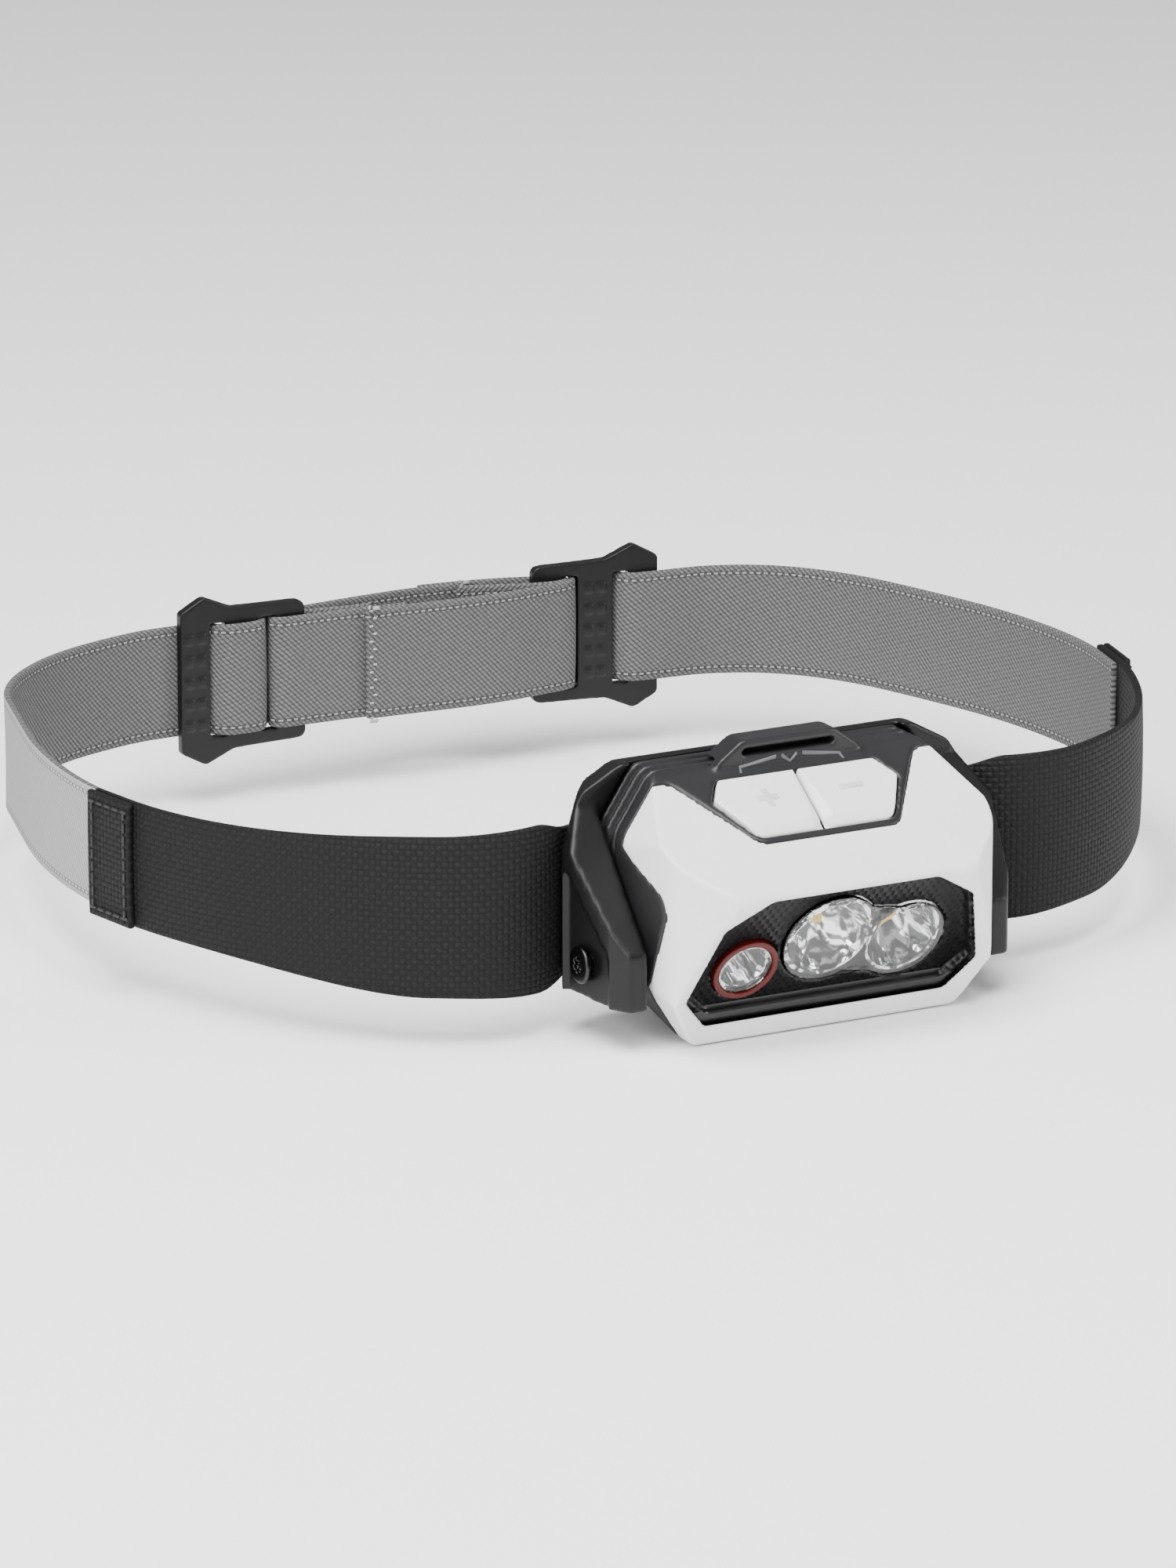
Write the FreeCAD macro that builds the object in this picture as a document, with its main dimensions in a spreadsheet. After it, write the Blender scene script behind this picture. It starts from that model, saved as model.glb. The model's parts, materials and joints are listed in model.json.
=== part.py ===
"""Headlamp on an elastic head strap.

The origin is the centre of the head opening, half way up the strap. The lamp is at the front, -Y, and +Z is up.
The lamp tilts in its bracket about a level axis near its lower rear, and its front swings down on a hinge under
the case to free the cells.
"""

import FreeCAD, Part
import math
import os

from FreeCAD import Placement, Rotation, Vector

SIZES = {
    # cells and the bay round them
    "cell_radius": 5.25, "cell_length": 44.5, "cell_slack": 0.1, "cell_low_z": -10.4, "cell_room": 0.65,
    "contact_plate": 0.5, "spring_length": 3.0, "nub_radius": 1.9, "nub_length": 0.8, "cover_plate": 1.0, "cover_gap": 0.1,
    "bay_side_wall": 4.2, "bay_top_wall": 3.7, "bay_floor_wall": 1.4,
    # case, seen from the front
    "case_half": 31.0, "crown_side": 6.5, "foot_side": 4.0, "shoulder_drop": 9.9, "flank_rise": 6.5,
    # case, seen from the side; "ahead" is the way out of the lamp from the cover in front of the cells
    "rear_y": -71.0, "split_back": 6.4, "slope_back": 6.2, "lip_ahead": 19.6, "lip_z": 4.7,
    "chin_ahead": 7.6, "chin_z": -22.2, "chin_length": 3.4,
    # case, seen from above
    "flank_ahead": 0.2, "cheek_side": 1.7, "cheek_ahead": 11.7, "nose_side": 10.5, "nose_ahead": 20.4,
    # walls and clearances
    "rear_wall": 1.0, "heel_wall": 0.85, "bezel_wall": 1.4, "inner_wall": 1.0, "rib_depth": 1.5, "rib_plate": 1.2,
    "split_gap": 0.1, "skin_gap": 0.12, "free_gap": 0.3, "running_gap": 0.05, "swing_gap": 0.4, "case_gap": 0.6,
    "gasket_width": 0.6, "gasket_plate": 0.8, "gasket_land": 0.4, "cover_ledge": 1.0,
    # window and the optics behind it
    "window_ahead": 12.9, "window_z": -7.4, "window_tilt": 24.3,
    "window_top_half": 15.2, "window_shoulder_half": 22.7, "window_cheek_half": 26.7, "window_foot_half": 22.0,
    "window_top": 12.1, "window_shoulder": 7.3, "window_cheek": -6.9, "window_foot": -12.6,
    "window_bevel": 71.0, "window_land": 0.25, "panel_lap": 0.9, "panel_front": 0.7, "panel_face": 2.0, "panel_back": 3.3,
    "panel_rim": 0.8, "panel_ledge": 1.3,
    "flood_x": -1.0, "flood_v": 0.4, "flood_radius": 7.9, "spot_x": 13.0, "spot_v": -2.2, "spot_radius": 6.9,
    "lens_rim": 0.7, "rim_stand": 0.4, "lens_stand": 0.6, "waist_half": 6.0,
    "near_x": -15.8, "near_v": -3.3, "near_radius": 4.7, "ring_width": 1.1, "ring_stand": 0.7,
    "bowl_depth": 4.6, "bowl_wall": 0.6, "bowl_throat": 2.4, "bowl_inset": 0.9, "board_plate": 1.0,
    "led_side": 3.0, "led_height": 0.7, "board_screw_radius": 0.9, "board_post_radius": 1.6,
    # keys
    "key_ahead": 2.6, "key_rear": 6.0, "key_side": 1.6, "key_front": -6.6,
    "key_rear_half": 14.2, "key_side_half": 16.8, "key_front_half": 12.4,
    "key_plate": 1.8, "key_proud": 0.3, "key_travel": 0.6, "key_gap": 0.25, "key_split": 0.5, "key_floor": 0.7,
    "collar_wall": 1.2, "collar_drop": 0.3, "switch_side": 3.4, "switch_x": 7.0, "switch_v": -2.8,
    "well_half": 12.0, "well_margin": 0.5, "key_board_half": 15.0, "key_board_width": 6.4, "key_board_v": -2.9,
    # horns and notch of the bezel
    "horn_back": 3.5, "horn_half": 22.6, "notch_half": 12.6, "notch_ahead": 9.6,
    # latch tab
    "tab_half": 12.6, "tab_top_half": 8.6, "tab_rise": 3.2, "tab_ahead": 2.0, "tab_reach": 3.2,
    "tab_slot": 1.1, "tab_lip": 0.7,
    # tilt pivot
    "pivot_back": 1.4, "pivot_rise": 1.0, "lug_radius": 4.2, "lug_plate": 1.9,
    "screw_radius": 1.5, "screw_head": 3.1, "screw_head_height": 1.2,
    # hinge under the case
    "hinge_drop": 1.4, "knuckle_radius": 1.7, "hinge_pin_radius": 0.8,
    "middle_knuckle": 16.0, "outer_knuckle": 8.0, "knuckle_gap": 0.2,
    # bracket; "reach" is the way out from the case's flank
    "bracket_reach": 8.5, "bracket_shoulder_reach": 2.9, "bracket_rise": 0.0, "bracket_shoulder_drop": 3.8,
    "bracket_flank": 7.5, "bracket_floor": -15.4, "plate": 1.9, "rim_reach": 2.0,
    "wing_depth": 5.2, "ear_reach": 5.8, "ear_ahead": 7.0, "ear_nose_reach": 3.8, "ear_nose_ahead": 10.3,
    "ear_knee_z": -6.2, "ear_floor_z": -16.0, "recess_depth": 1.2,
    "relief_margin": 2.3, "relief_z": -10.5, "strap_bar": 1.5, "strap_bar_width": 4.0, "strap_bar_x": 23.0,
    # straps
    "webbing": 1.4, "elastic": 1.2, "elastic_width": 20.0, "seam_margin": 0.45,
    "webbing_top": 13.2, "webbing_bottom": -15.0, "webbing_pinch_top": 11.0, "webbing_pinch_bottom": -13.4,
    "reach_left": 93.2, "reach_right": 98.4, "seam_lap": 11.0, "layer_gap": 0.3,
    # sliders
    "slider_length": 24.0, "slider_plate": 2.0, "slider_peak": 2.5, "slider_wall": 2.2,
    "tail_bar": 5.6, "slider_slot": 3.0, "middle_bar": 6.8, "slot_play": 0.6,
    "stud_side": 1.5, "stud_rise": 0.25, "stud_pitch": 3.9, "stud_spread": 2.4,
    "left_slider_x": -26.0, "left_slider_y": 70.8, "right_slider_x": 43.2, "right_slider_y": 69.6,
    "right_slider_turn": -6.0,
}

doc = FreeCAD.newDocument("Headlamp")
sheet = doc.addObject("Spreadsheet::Sheet", "Sizes")
for row, (alias, value) in enumerate(SIZES.items(), start=1):
    sheet.set(f"A{row}", alias)
    sheet.set(f"B{row}", str(value))
    sheet.setAlias(f"B{row}", alias)
doc.recompute()

FRONT = Rotation(Vector(1, 0, 0), 90)     # drawing plane seen from the front: x, z; its normal is -Y
SIDE = Rotation(Vector(1, 1, 1), 120)     # drawing plane seen from the right: y, z; its normal is +X
PLAN = Rotation()                         # drawing plane seen from above: x, y; its normal is +Z
ORIGIN = Vector(0, 0, 0)
FAR = "150"                               # reach of a cutting volume that passes right through

NODES = []


def size(alias):
    """A driving size as a plain number."""
    return float(sheet.get(alias))


# ---------------------------------------------------------------- levels that several parts share

CELL_PITCH = 2 * size("cell_radius") + size("cell_slack")
CROWN_Z = size("cell_low_z") + 2 * CELL_PITCH + size("cell_radius") + size("cell_room") + size("bay_top_wall")
FLOOR_Z = size("cell_low_z") - size("cell_radius") - size("cell_room") + 0.2 - size("bay_floor_wall")
SHOULDER_Z = CROWN_Z - size("shoulder_drop")
FLANK_Z = FLOOR_Z + size("flank_rise")
CROWN_HALF = size("case_half") - size("crown_side")
CELL_Y = size("rear_y") - size("rear_wall") - size("cell_radius") - size("cell_slack")
COVER_REAR = CELL_Y - size("cell_radius") - size("cell_slack") - size("cover_gap")
COVER_FRONT = COVER_REAR - size("cover_plate")
SPLIT_Y = COVER_FRONT + size("split_back")
SLOPE_Y = COVER_FRONT + size("slope_back")
LIP_Y = COVER_FRONT - size("lip_ahead")
CHIN_Y = COVER_FRONT - size("chin_ahead")
KEY_Y = COVER_FRONT - size("key_ahead")
HORN_Y = COVER_FRONT + size("horn_back")
PIVOT_Y = size("rear_y") - 2 * size("cell_radius") + size("pivot_back")
PIVOT_Z = size("cell_low_z") + size("pivot_rise")
HEEL_RADIUS = size("rear_y") - PIVOT_Y
HINGE_Y = SPLIT_Y - size("split_gap")
HINGE_Z = FLOOR_Z - size("hinge_drop")
PLATE_Y = size("rear_y") + size("case_gap")
PLATE_REAR = PLATE_Y + size("plate")
WING_Y = PLATE_Y - size("wing_depth")
EAR_Y = PIVOT_Y - size("ear_ahead")
EAR_NOSE_Y = PIVOT_Y - size("ear_nose_ahead")
BRACKET_HALF = size("case_half") + size("bracket_reach")
KEY_ROOM = size("key_plate") - size("key_proud") + size("key_travel") + 0.1
ROOF_LEVEL = -KEY_ROOM - size("key_floor")
STRAP_Y = PLATE_REAR + size("free_gap") + size("webbing") + size("layer_gap") / 2


# ---------------------------------------------------------------- outlines

def turn_of(before, here, after):
    """Signed turn of a path at one of its points, in radians."""
    into = math.atan2(here[1] - before[1], here[0] - before[0])
    away = math.atan2(after[1] - here[1], after[0] - here[0])
    return (away - into + math.pi) % (2 * math.pi) - math.pi


def inset(corners, depth):
    """A closed outline of (x, y, radius) corners moved inwards; a negative depth moves it outwards."""
    count = len(corners)
    area = sum(corners[i][0] * corners[(i + 1) % count][1] - corners[(i + 1) % count][0] * corners[i][1]
               for i in range(count))
    side = math.copysign(1.0, area)
    moved = []
    for i, (x, y, radius) in enumerate(corners):
        before = corners[i - 1]
        after = corners[(i + 1) % count]
        turn = turn_of(before, (x, y), after)
        into = math.atan2(y - before[1], x - before[0])
        middle = into + turn / 2 + side * math.pi / 2
        reach = depth / math.cos(turn / 2)
        new_radius = radius - depth * side * math.copysign(1.0, turn) if radius else 0.0
        moved.append((x + reach * math.cos(middle), y + reach * math.sin(middle), max(new_radius, 0.0)))
    return moved


def mirrored(half):
    """A closed outline from its right half, listed from the top centre down to the bottom centre."""
    return half + [(-x, y, radius) for x, y, radius in reversed(half) if abs(x) > 1e-6]


def edges_of(corners):
    """Lines and tangent arcs of a closed outline of (x, y, radius) corners."""
    count = len(corners)
    starts, ends, arcs = [], [], []
    for i, (x, y, radius) in enumerate(corners):
        before = Vector(*corners[i - 1][:2], 0)
        here = Vector(x, y, 0)
        after = Vector(*corners[(i + 1) % count][:2], 0)
        turn = abs(turn_of(before, here, after))
        shorter = min((here - before).Length, (after - here).Length)
        tangent = min(radius * math.tan(turn / 2), 0.49 * shorter)
        if tangent < 1e-4:
            starts.append(here)
            ends.append(here)
            arcs.append(None)
            continue
        radius = tangent / math.tan(turn / 2)
        first = here + (before - here).normalize() * tangent
        last = here + (after - here).normalize() * tangent
        inwards = ((before - here).normalize() + (after - here).normalize()).normalize()
        middle = here + inwards * (radius / math.cos(turn / 2) - radius)
        starts.append(first)
        ends.append(last)
        arcs.append(Part.Arc(first, middle, last))
    edges = []
    for i in range(count):
        if arcs[i]:
            edges.append(arcs[i])
        if (starts[(i + 1) % count] - ends[i]).Length > 1e-5:
            edges.append(Part.LineSegment(ends[i], starts[(i + 1) % count]))
    return edges


def drawing(name, loops, rotation, base=ORIGIN):
    """A sketch of closed outlines on a plane."""
    sketch = doc.addObject("Sketcher::SketchObject", name + "_drawing")
    sketch.Placement = Placement(base, rotation)
    for loop in loops:
        sketch.addGeometry(edges_of(loop), False)
    return sketch


def extrude(name, loops, rotation, ahead, behind="0", base=ORIGIN):
    """A prism from outlines: ahead and behind are expressions for its reach each way along the normal."""
    prism = doc.addObject("Part::Extrusion", name)
    prism.Base = drawing(name, loops, rotation, base)
    prism.DirMode = "Normal"
    prism.Solid = True
    prism.FaceMakerClass = "Part::FaceMakerBullseye"
    prism.setExpression("LengthFwd", ahead)
    prism.setExpression("LengthRev", behind)
    return prism


def circle_prism(name, radius, ahead, rotation, base):
    """A round prism; radius and ahead are expressions."""
    rod = doc.addObject("Part::Cylinder", name)
    rod.setExpression("Radius", radius)
    rod.setExpression("Height", ahead)
    rod.Placement = Placement(base, rotation)
    return rod


def block(name, length, width, height, placement):
    """A box whose base centre is at the placement; its sizes are expressions."""
    solid = doc.addObject("Part::Box", name)
    solid.setExpression("Length", length)
    solid.setExpression("Width", width)
    solid.setExpression("Height", height)
    doc.recompute()
    corner = Vector(-solid.Length.Value / 2, -solid.Width.Value / 2, 0)
    solid.Placement = placement.multiply(Placement(corner, Rotation()))
    return solid


def revolve(name, profile, rotation, base):
    """A round solid from a closed (radius, height) outline turned about the placement's local Z."""
    sketch = drawing(name, [profile], FRONT)
    solid = doc.addObject("Part::Revolution", name)
    solid.Source = sketch
    solid.Axis = Vector(0, 0, 1)
    solid.Solid = True
    solid.Placement = Placement(base, rotation)
    return solid


def fuse(name, *shapes):
    joined = doc.addObject("Part::MultiFuse", name)
    joined.Shapes = list(shapes)
    joined.Refine = True
    return joined


def common(name, *shapes):
    shared = doc.addObject("Part::MultiCommon", name)
    shared.Shapes = list(shapes)
    return shared


def cut(name, base, *tools):
    """Base without the tools."""
    result = doc.addObject("Part::Cut", name)
    result.Base = base
    result.Tool = tools[0] if len(tools) == 1 else fuse(name + "_tools", *tools)
    result.Refine = True
    return result


def group(name, *shapes):
    """Separate solids that share one node."""
    joined = doc.addObject("Part::Compound", name)
    joined.Links = list(shapes)
    return joined


def node(label, solid):
    """Register a finished sub-part under its own label."""
    solid.Label = label
    NODES.append(solid)


# ---------------------------------------------------------------- lamp volumes

def case_outline(depth=0.0, floor_depth=None):
    """Front view of the case: crown, sloping shoulders, flanks and feet."""
    half = [(CROWN_HALF, CROWN_Z, 4.0), (size("case_half"), SHOULDER_Z, 6.0), (size("case_half"), FLANK_Z, 5.0),
            (size("case_half") - size("foot_side"), FLOOR_Z, 3.0)]
    outline = inset(mirrored(half), depth)
    if floor_depth is None:
        return outline
    return [(x, FLOOR_Z + floor_depth if y < FLANK_Z - 2 else y, radius) for x, y, radius in outline]


def lamp_outline(depth=0.0):
    """Front view of the lamp's front: as the case, with the feet drawn down to the chin."""
    lean = size("foot_side") / (FLANK_Z - FLOOR_Z)
    chin_half = size("case_half") - lean * (FLANK_Z - size("chin_z"))
    half = [(CROWN_HALF, CROWN_Z, 4.0), (size("case_half"), SHOULDER_Z, 6.0), (size("case_half"), FLANK_Z, 5.0),
            (chin_half, size("chin_z"), 3.0)]
    return inset(mirrored(half), depth)


def case_profile(depth=0.0):
    """Side view of the lamp: crown, key slope, slanted front, chin and floor."""
    chin_rear = CHIN_Y + size("chin_length")
    corners = [(size("rear_y"), CROWN_Z, 0.0), (SLOPE_Y, CROWN_Z, 8.0), (LIP_Y, size("lip_z"), 2.2),
               (CHIN_Y, size("chin_z"), 1.4), (chin_rear, size("chin_z"), 3.0),
               (SPLIT_Y - size("chin_length"), FLOOR_Z, 3.0), (size("rear_y"), FLOOR_Z, 0.0)]
    return inset(corners, depth)


def case_plan(depth=0.0):
    """View from above: straight flanks, cheeks and a blunt nose."""
    half = [(size("case_half"), size("rear_y") + 5.0, 0.0),
            (size("case_half"), COVER_FRONT - size("flank_ahead"), 20.0),
            (size("case_half") - size("cheek_side"), COVER_FRONT - size("cheek_ahead"), 9.0),
            (size("case_half") - size("nose_side"), COVER_FRONT - size("nose_ahead"), 7.0)]
    return inset(mirrored(half), depth)


def lamp_volume(name, depth):
    """The whole lamp, moved inwards by depth, as what its three views share."""
    return common(name, extrude(name + "_front", [lamp_outline(depth)], FRONT, FAR),
                  extrude(name + "_side", [case_profile(depth)], SIDE, FAR, FAR),
                  extrude(name + "_plan", [case_plan(depth)], PLAN, FAR, FAR))


def bay_outline(depth=0.0):
    """Front view of the cell bay."""
    bay_half = size("case_half") - size("bay_side_wall")
    half = [(CROWN_HALF - 2.0, CROWN_Z - size("bay_top_wall"), 1.0),
            (bay_half, SHOULDER_Z + 0.8, 2.0), (bay_half, FLANK_Z + 1.0, 2.0),
            (bay_half - 3.0, FLOOR_Z + size("bay_floor_wall"), 2.0)]
    return inset(mirrored(half), depth)


def slab(name, front_y, rear_y):
    """Everything between two levels of y."""
    reach = float(FAR)
    loop = [(-reach, front_y, 0), (reach, front_y, 0), (reach, rear_y, 0), (-reach, rear_y, 0)]
    return extrude(name, [loop], PLAN, FAR, FAR)


def square(half):
    return [(-half, -half, 0), (half, -half, 0), (half, half, 0), (-half, half, 0)]


def under_slope(name, level):
    """Everything below a level of the keys' plane."""
    return key_prism(name, [square(float(FAR))], level - float(FAR), FAR)


def heel(name, radius):
    """The lower rear corner outside a circle about the tilt pivot, which the case must not reach."""
    corner = [(PIVOT_Y, PIVOT_Z, 0), (PIVOT_Y, PIVOT_Z - 40, 0), (PIVOT_Y + 40, PIVOT_Z - 40, 0),
              (PIVOT_Y + 40, PIVOT_Z, 0)]
    quarter = extrude(name + "_quarter", [corner], SIDE, FAR, FAR)
    wheel = across(name + "_wheel", str(radius), -float(FAR), float(FAR), PIVOT_Y, PIVOT_Z)
    return cut(name, quarter, wheel)


def across(name, radius, start_x, end_x, y, z):
    """A round bar along X between two levels of x; radius is an expression."""
    return circle_prism(name, radius, str(end_x - start_x), Rotation(Vector(0, 1, 0), 90), Vector(start_x, y, z))


# ---------------------------------------------------------------- placements on the slanted faces

def window_outline(depth=0.0):
    """The eight-sided window in its own plane."""
    half = [(size("window_top_half"), size("window_top"), 1.5),
            (size("window_shoulder_half"), size("window_shoulder"), 1.5),
            (size("window_cheek_half"), size("window_cheek"), 1.5),
            (size("window_foot_half"), size("window_foot"), 1.5)]
    return inset(mirrored(half), depth)


def window_spot(x, v, level):
    """A place on the window's plane: x across, v up its slope, level out of the lamp."""
    tilt = Rotation(Vector(1, 0, 0), 90 + size("window_tilt"))
    base = Vector(0, COVER_FRONT - size("window_ahead"), size("window_z"))
    return Placement(base, tilt).multiply(Placement(Vector(x, v, level), Rotation()))


def window_prism(name, loops, level, height):
    """A prism that stands on the window's plane at a level; height is an expression."""
    place = window_spot(0, 0, level)
    return extrude(name, loops, place.Rotation, height, base=place.Base)


def window_rod(name, x, v, level, radius, height):
    """A round prism on the window's plane; radius and height are expressions."""
    place = window_spot(x, v, level)
    return circle_prism(name, radius, height, place.Rotation, place.Base)


def slope_angle():
    """The slope that the keys lie on, from level."""
    return math.degrees(math.atan2(CROWN_Z - size("lip_z"), SLOPE_Y - LIP_Y))


def key_spot(x, v, level):
    """A place on the keys' plane: x across, v up the slope, level out of the lamp."""
    z = CROWN_Z + (KEY_Y - SLOPE_Y) * math.tan(math.radians(slope_angle()))
    turn = Rotation(Vector(1, 0, 0), slope_angle())
    return Placement(Vector(0, KEY_Y, z), turn).multiply(Placement(Vector(x, v, level), Rotation()))


def key_prism(name, loops, level, height):
    place = key_spot(0, 0, level)
    return extrude(name, loops, place.Rotation, height, base=place.Base)


def key_outline(depth=0.0):
    """Both keys together: narrow at the rear, widest behind the middle, tapering to the front."""
    half = [(size("key_rear_half"), size("key_rear"), 0.8), (size("key_side_half"), size("key_side"), 1.2),
            (size("key_front_half"), size("key_front"), 2.2)]
    return inset(mirrored(half), depth)


# ---------------------------------------------------------------- bezel and front shell

def bezel_region(name, gap):
    """What the bezel covers: the front ahead of its side edge, and the horns each side of the keys."""
    side = [(HORN_Y + 3.0, 40, 0), (HORN_Y + 0.4, SHOULDER_Z - 1.0, 2.5), (LIP_Y + 9.6, 2.6, 4.0),
            (CHIN_Y + 4.2, -14.6, 3.0), (CHIN_Y + 2.2, -40, 0), (-140, -40, 0), (-140, 40, 0)]
    notch_y = COVER_FRONT - size("notch_ahead")
    half = [(size("notch_half"), notch_y, 2.5), (size("horn_half"), HORN_Y, 2.5), (60, HORN_Y, 0), (60, -140, 0)]
    plan = half + [(-x, y, radius) for x, y, radius in reversed(half)]
    low = block(name + "_low", "200", "400", "60", Placement(Vector(0, COVER_FRONT, gap - 60), Rotation()))
    return common(name, extrude(name + "_side", [inset(side, -gap)], SIDE, FAR, FAR),
                  fuse(name + "_from_above", extrude(name + "_plan", [inset(plan, -gap)], PLAN, FAR, FAR), low))


def make_bezel(outer, inner):
    """White skin with a bevelled window."""
    opening = window_prism("window_opening", [window_outline()], -12.0, "12.1 + Sizes.window_land")
    bevel = window_prism("window_bevel_cut", [window_outline()], size("window_land"), "4")
    bevel.setExpression("TaperAngle", "Sizes.window_bevel")
    skin = cut("lamp_skin", outer, inner)
    node("bezel", cut("bezel_body", common("bezel_skin", skin, bezel_region("bezel_region", 0.0)), opening, bevel))


def make_tab():
    """Latch tab: it rises from the shell's crown and reaches back over the rear case."""
    half = [(size("tab_top_half"), CROWN_Z + size("tab_rise"), 1.2), (size("tab_half"), CROWN_Z + 0.3, 0.6),
            (size("tab_half") + 2.0, CROWN_Z - 2.0, 0)]
    front = SPLIT_Y - size("tab_ahead")
    rear = SPLIT_Y + size("tab_reach")
    whole = extrude("tab_whole", [mirrored(half)], FRONT, str(rear - front), base=Vector(0, rear, 0))
    room = block("tab_room", "100", "Sizes.tab_reach + 1", "40",
                 Placement(Vector(0, SPLIT_Y - size("split_gap") + (size("tab_reach") + 1) / 2,
                                  CROWN_Z + size("free_gap") - 40), Rotation()))
    top = size("tab_top_half")
    low = CROWN_Z + size("tab_lip")
    high = low + size("tab_slot")
    slot = extrude("tab_slot_cut", [[(-top, low, 0), (top, low, 0), (top, high, 0), (-top, high, 0)]], FRONT, FAR)
    slot_limit = slab("tab_slot_limit", front - 1, rear - 2.0)
    return cut("tab", whole, room, common("tab_slot_room", slot, slot_limit))


def make_front_housing(outer, inner):
    """Front shell: flush with the bezel, hollow ahead of the cover, open to the rear for the cells."""
    bezel_room = common("bezel_pocket", cut("lamp_skin_room", outer, inner),
                        bezel_region("bezel_room", size("skin_gap")))
    ahead = slab("ahead_of_split", -140, SPLIT_Y - size("split_gap"))
    collar = common("collar_in_lamp", outer,
                    key_prism("collar", [key_outline(-size("key_gap") - size("collar_wall"))],
                              -3.0, "3 - Sizes.collar_drop"))
    body = fuse("housing_solid", cut("housing_skinned", common("housing_front", outer, ahead), bezel_room),
                collar, make_tab())
    split = Vector(0, SPLIT_Y - size("split_gap"), 0)
    hollow = common("hollow", lamp_volume("hollow_lamp", size("bezel_wall") + size("inner_wall")),
                    extrude("hollow_front", [bay_outline(size("cover_ledge"))], FRONT, FAR),
                    slab("hollow_limit", -140, COVER_FRONT + 0.01), under_slope("hollow_roof", ROOF_LEVEL))
    bay = common("front_bay", extrude("front_bay_prism", [bay_outline()], FRONT, str(SPLIT_Y + 1 - COVER_FRONT),
                                      base=Vector(0, SPLIT_Y + 1, 0)), under_slope("bay_roof", ROOF_LEVEL))
    groove = extrude("gasket_groove", gasket_loops(0.03), FRONT, "Sizes.gasket_plate", base=split)
    keys = key_prism("key_opening", [key_outline(-size("key_gap"))], -KEY_ROOM, "12")
    reach = size("switch_side") / 2 + size("well_margin")
    well_loop = [(-size("well_half"), size("switch_v") - reach, 0), (size("well_half"), size("switch_v") - reach, 0),
                 (size("well_half"), size("switch_v") + reach, 0), (-size("well_half"), size("switch_v") + reach, 0)]
    well = key_prism("switch_well", [well_loop], ROOF_LEVEL - 1.2, "6")
    window = window_prism("panel_opening", [window_outline(-size("panel_lap") - size("skin_gap"))], -8.0, "12")
    rooms = [hollow, bay, groove, keys, well, window]
    for side in (-1, 1):
        rooms.append(hinge_bar(f"knuckle_room_{side + 1}", side * outer_knuckle_x(),
                               size("outer_knuckle") + 2 * size("knuckle_gap"),
                               "Sizes.knuckle_radius + Sizes.knuckle_gap"))
        rooms.append(lug_room(side))
    shell = cut("housing_shell", body, *rooms)
    knuckle = hinge_bar("front_knuckle", 0, size("middle_knuckle"), "Sizes.knuckle_radius")
    pin_hole = hinge_bar("front_pin_hole", 0, 60, "Sizes.hinge_pin_radius + Sizes.running_gap")
    node("front_housing", cut("housing_hinged", fuse("housing_with_knuckle", shell, knuckle), pin_hole))


def lug_room(side):
    """The path of a pivot lug through the front shell when it swings open."""
    reach = math.hypot(PIVOT_Y - HINGE_Y, PIVOT_Z - HINGE_Z)
    width = size("lug_radius") + size("swing_gap")
    start = size("case_half") - size("lug_plate") - size("free_gap")
    span = (start, 60) if side > 0 else (-60, -start)
    big = across(f"lug_sweep_{side + 1}", str(reach + width), *span, HINGE_Y, HINGE_Z)
    small = across(f"lug_core_{side + 1}", str(reach - width), *span, HINGE_Y, HINGE_Z)
    limit = slab(f"lug_limit_{side + 1}", PIVOT_Y - width, SPLIT_Y + 1)
    return common(f"lug_room_{side + 1}", cut(f"lug_ring_{side + 1}", big, small), limit)


def hinge_bar(name, centre_x, width, radius):
    return across(name, radius, centre_x - width / 2, centre_x + width / 2, HINGE_Y, HINGE_Z)


def outer_knuckle_x():
    return size("middle_knuckle") / 2 + size("knuckle_gap") + size("outer_knuckle") / 2


# ---------------------------------------------------------------- rear case and hinge

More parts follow.
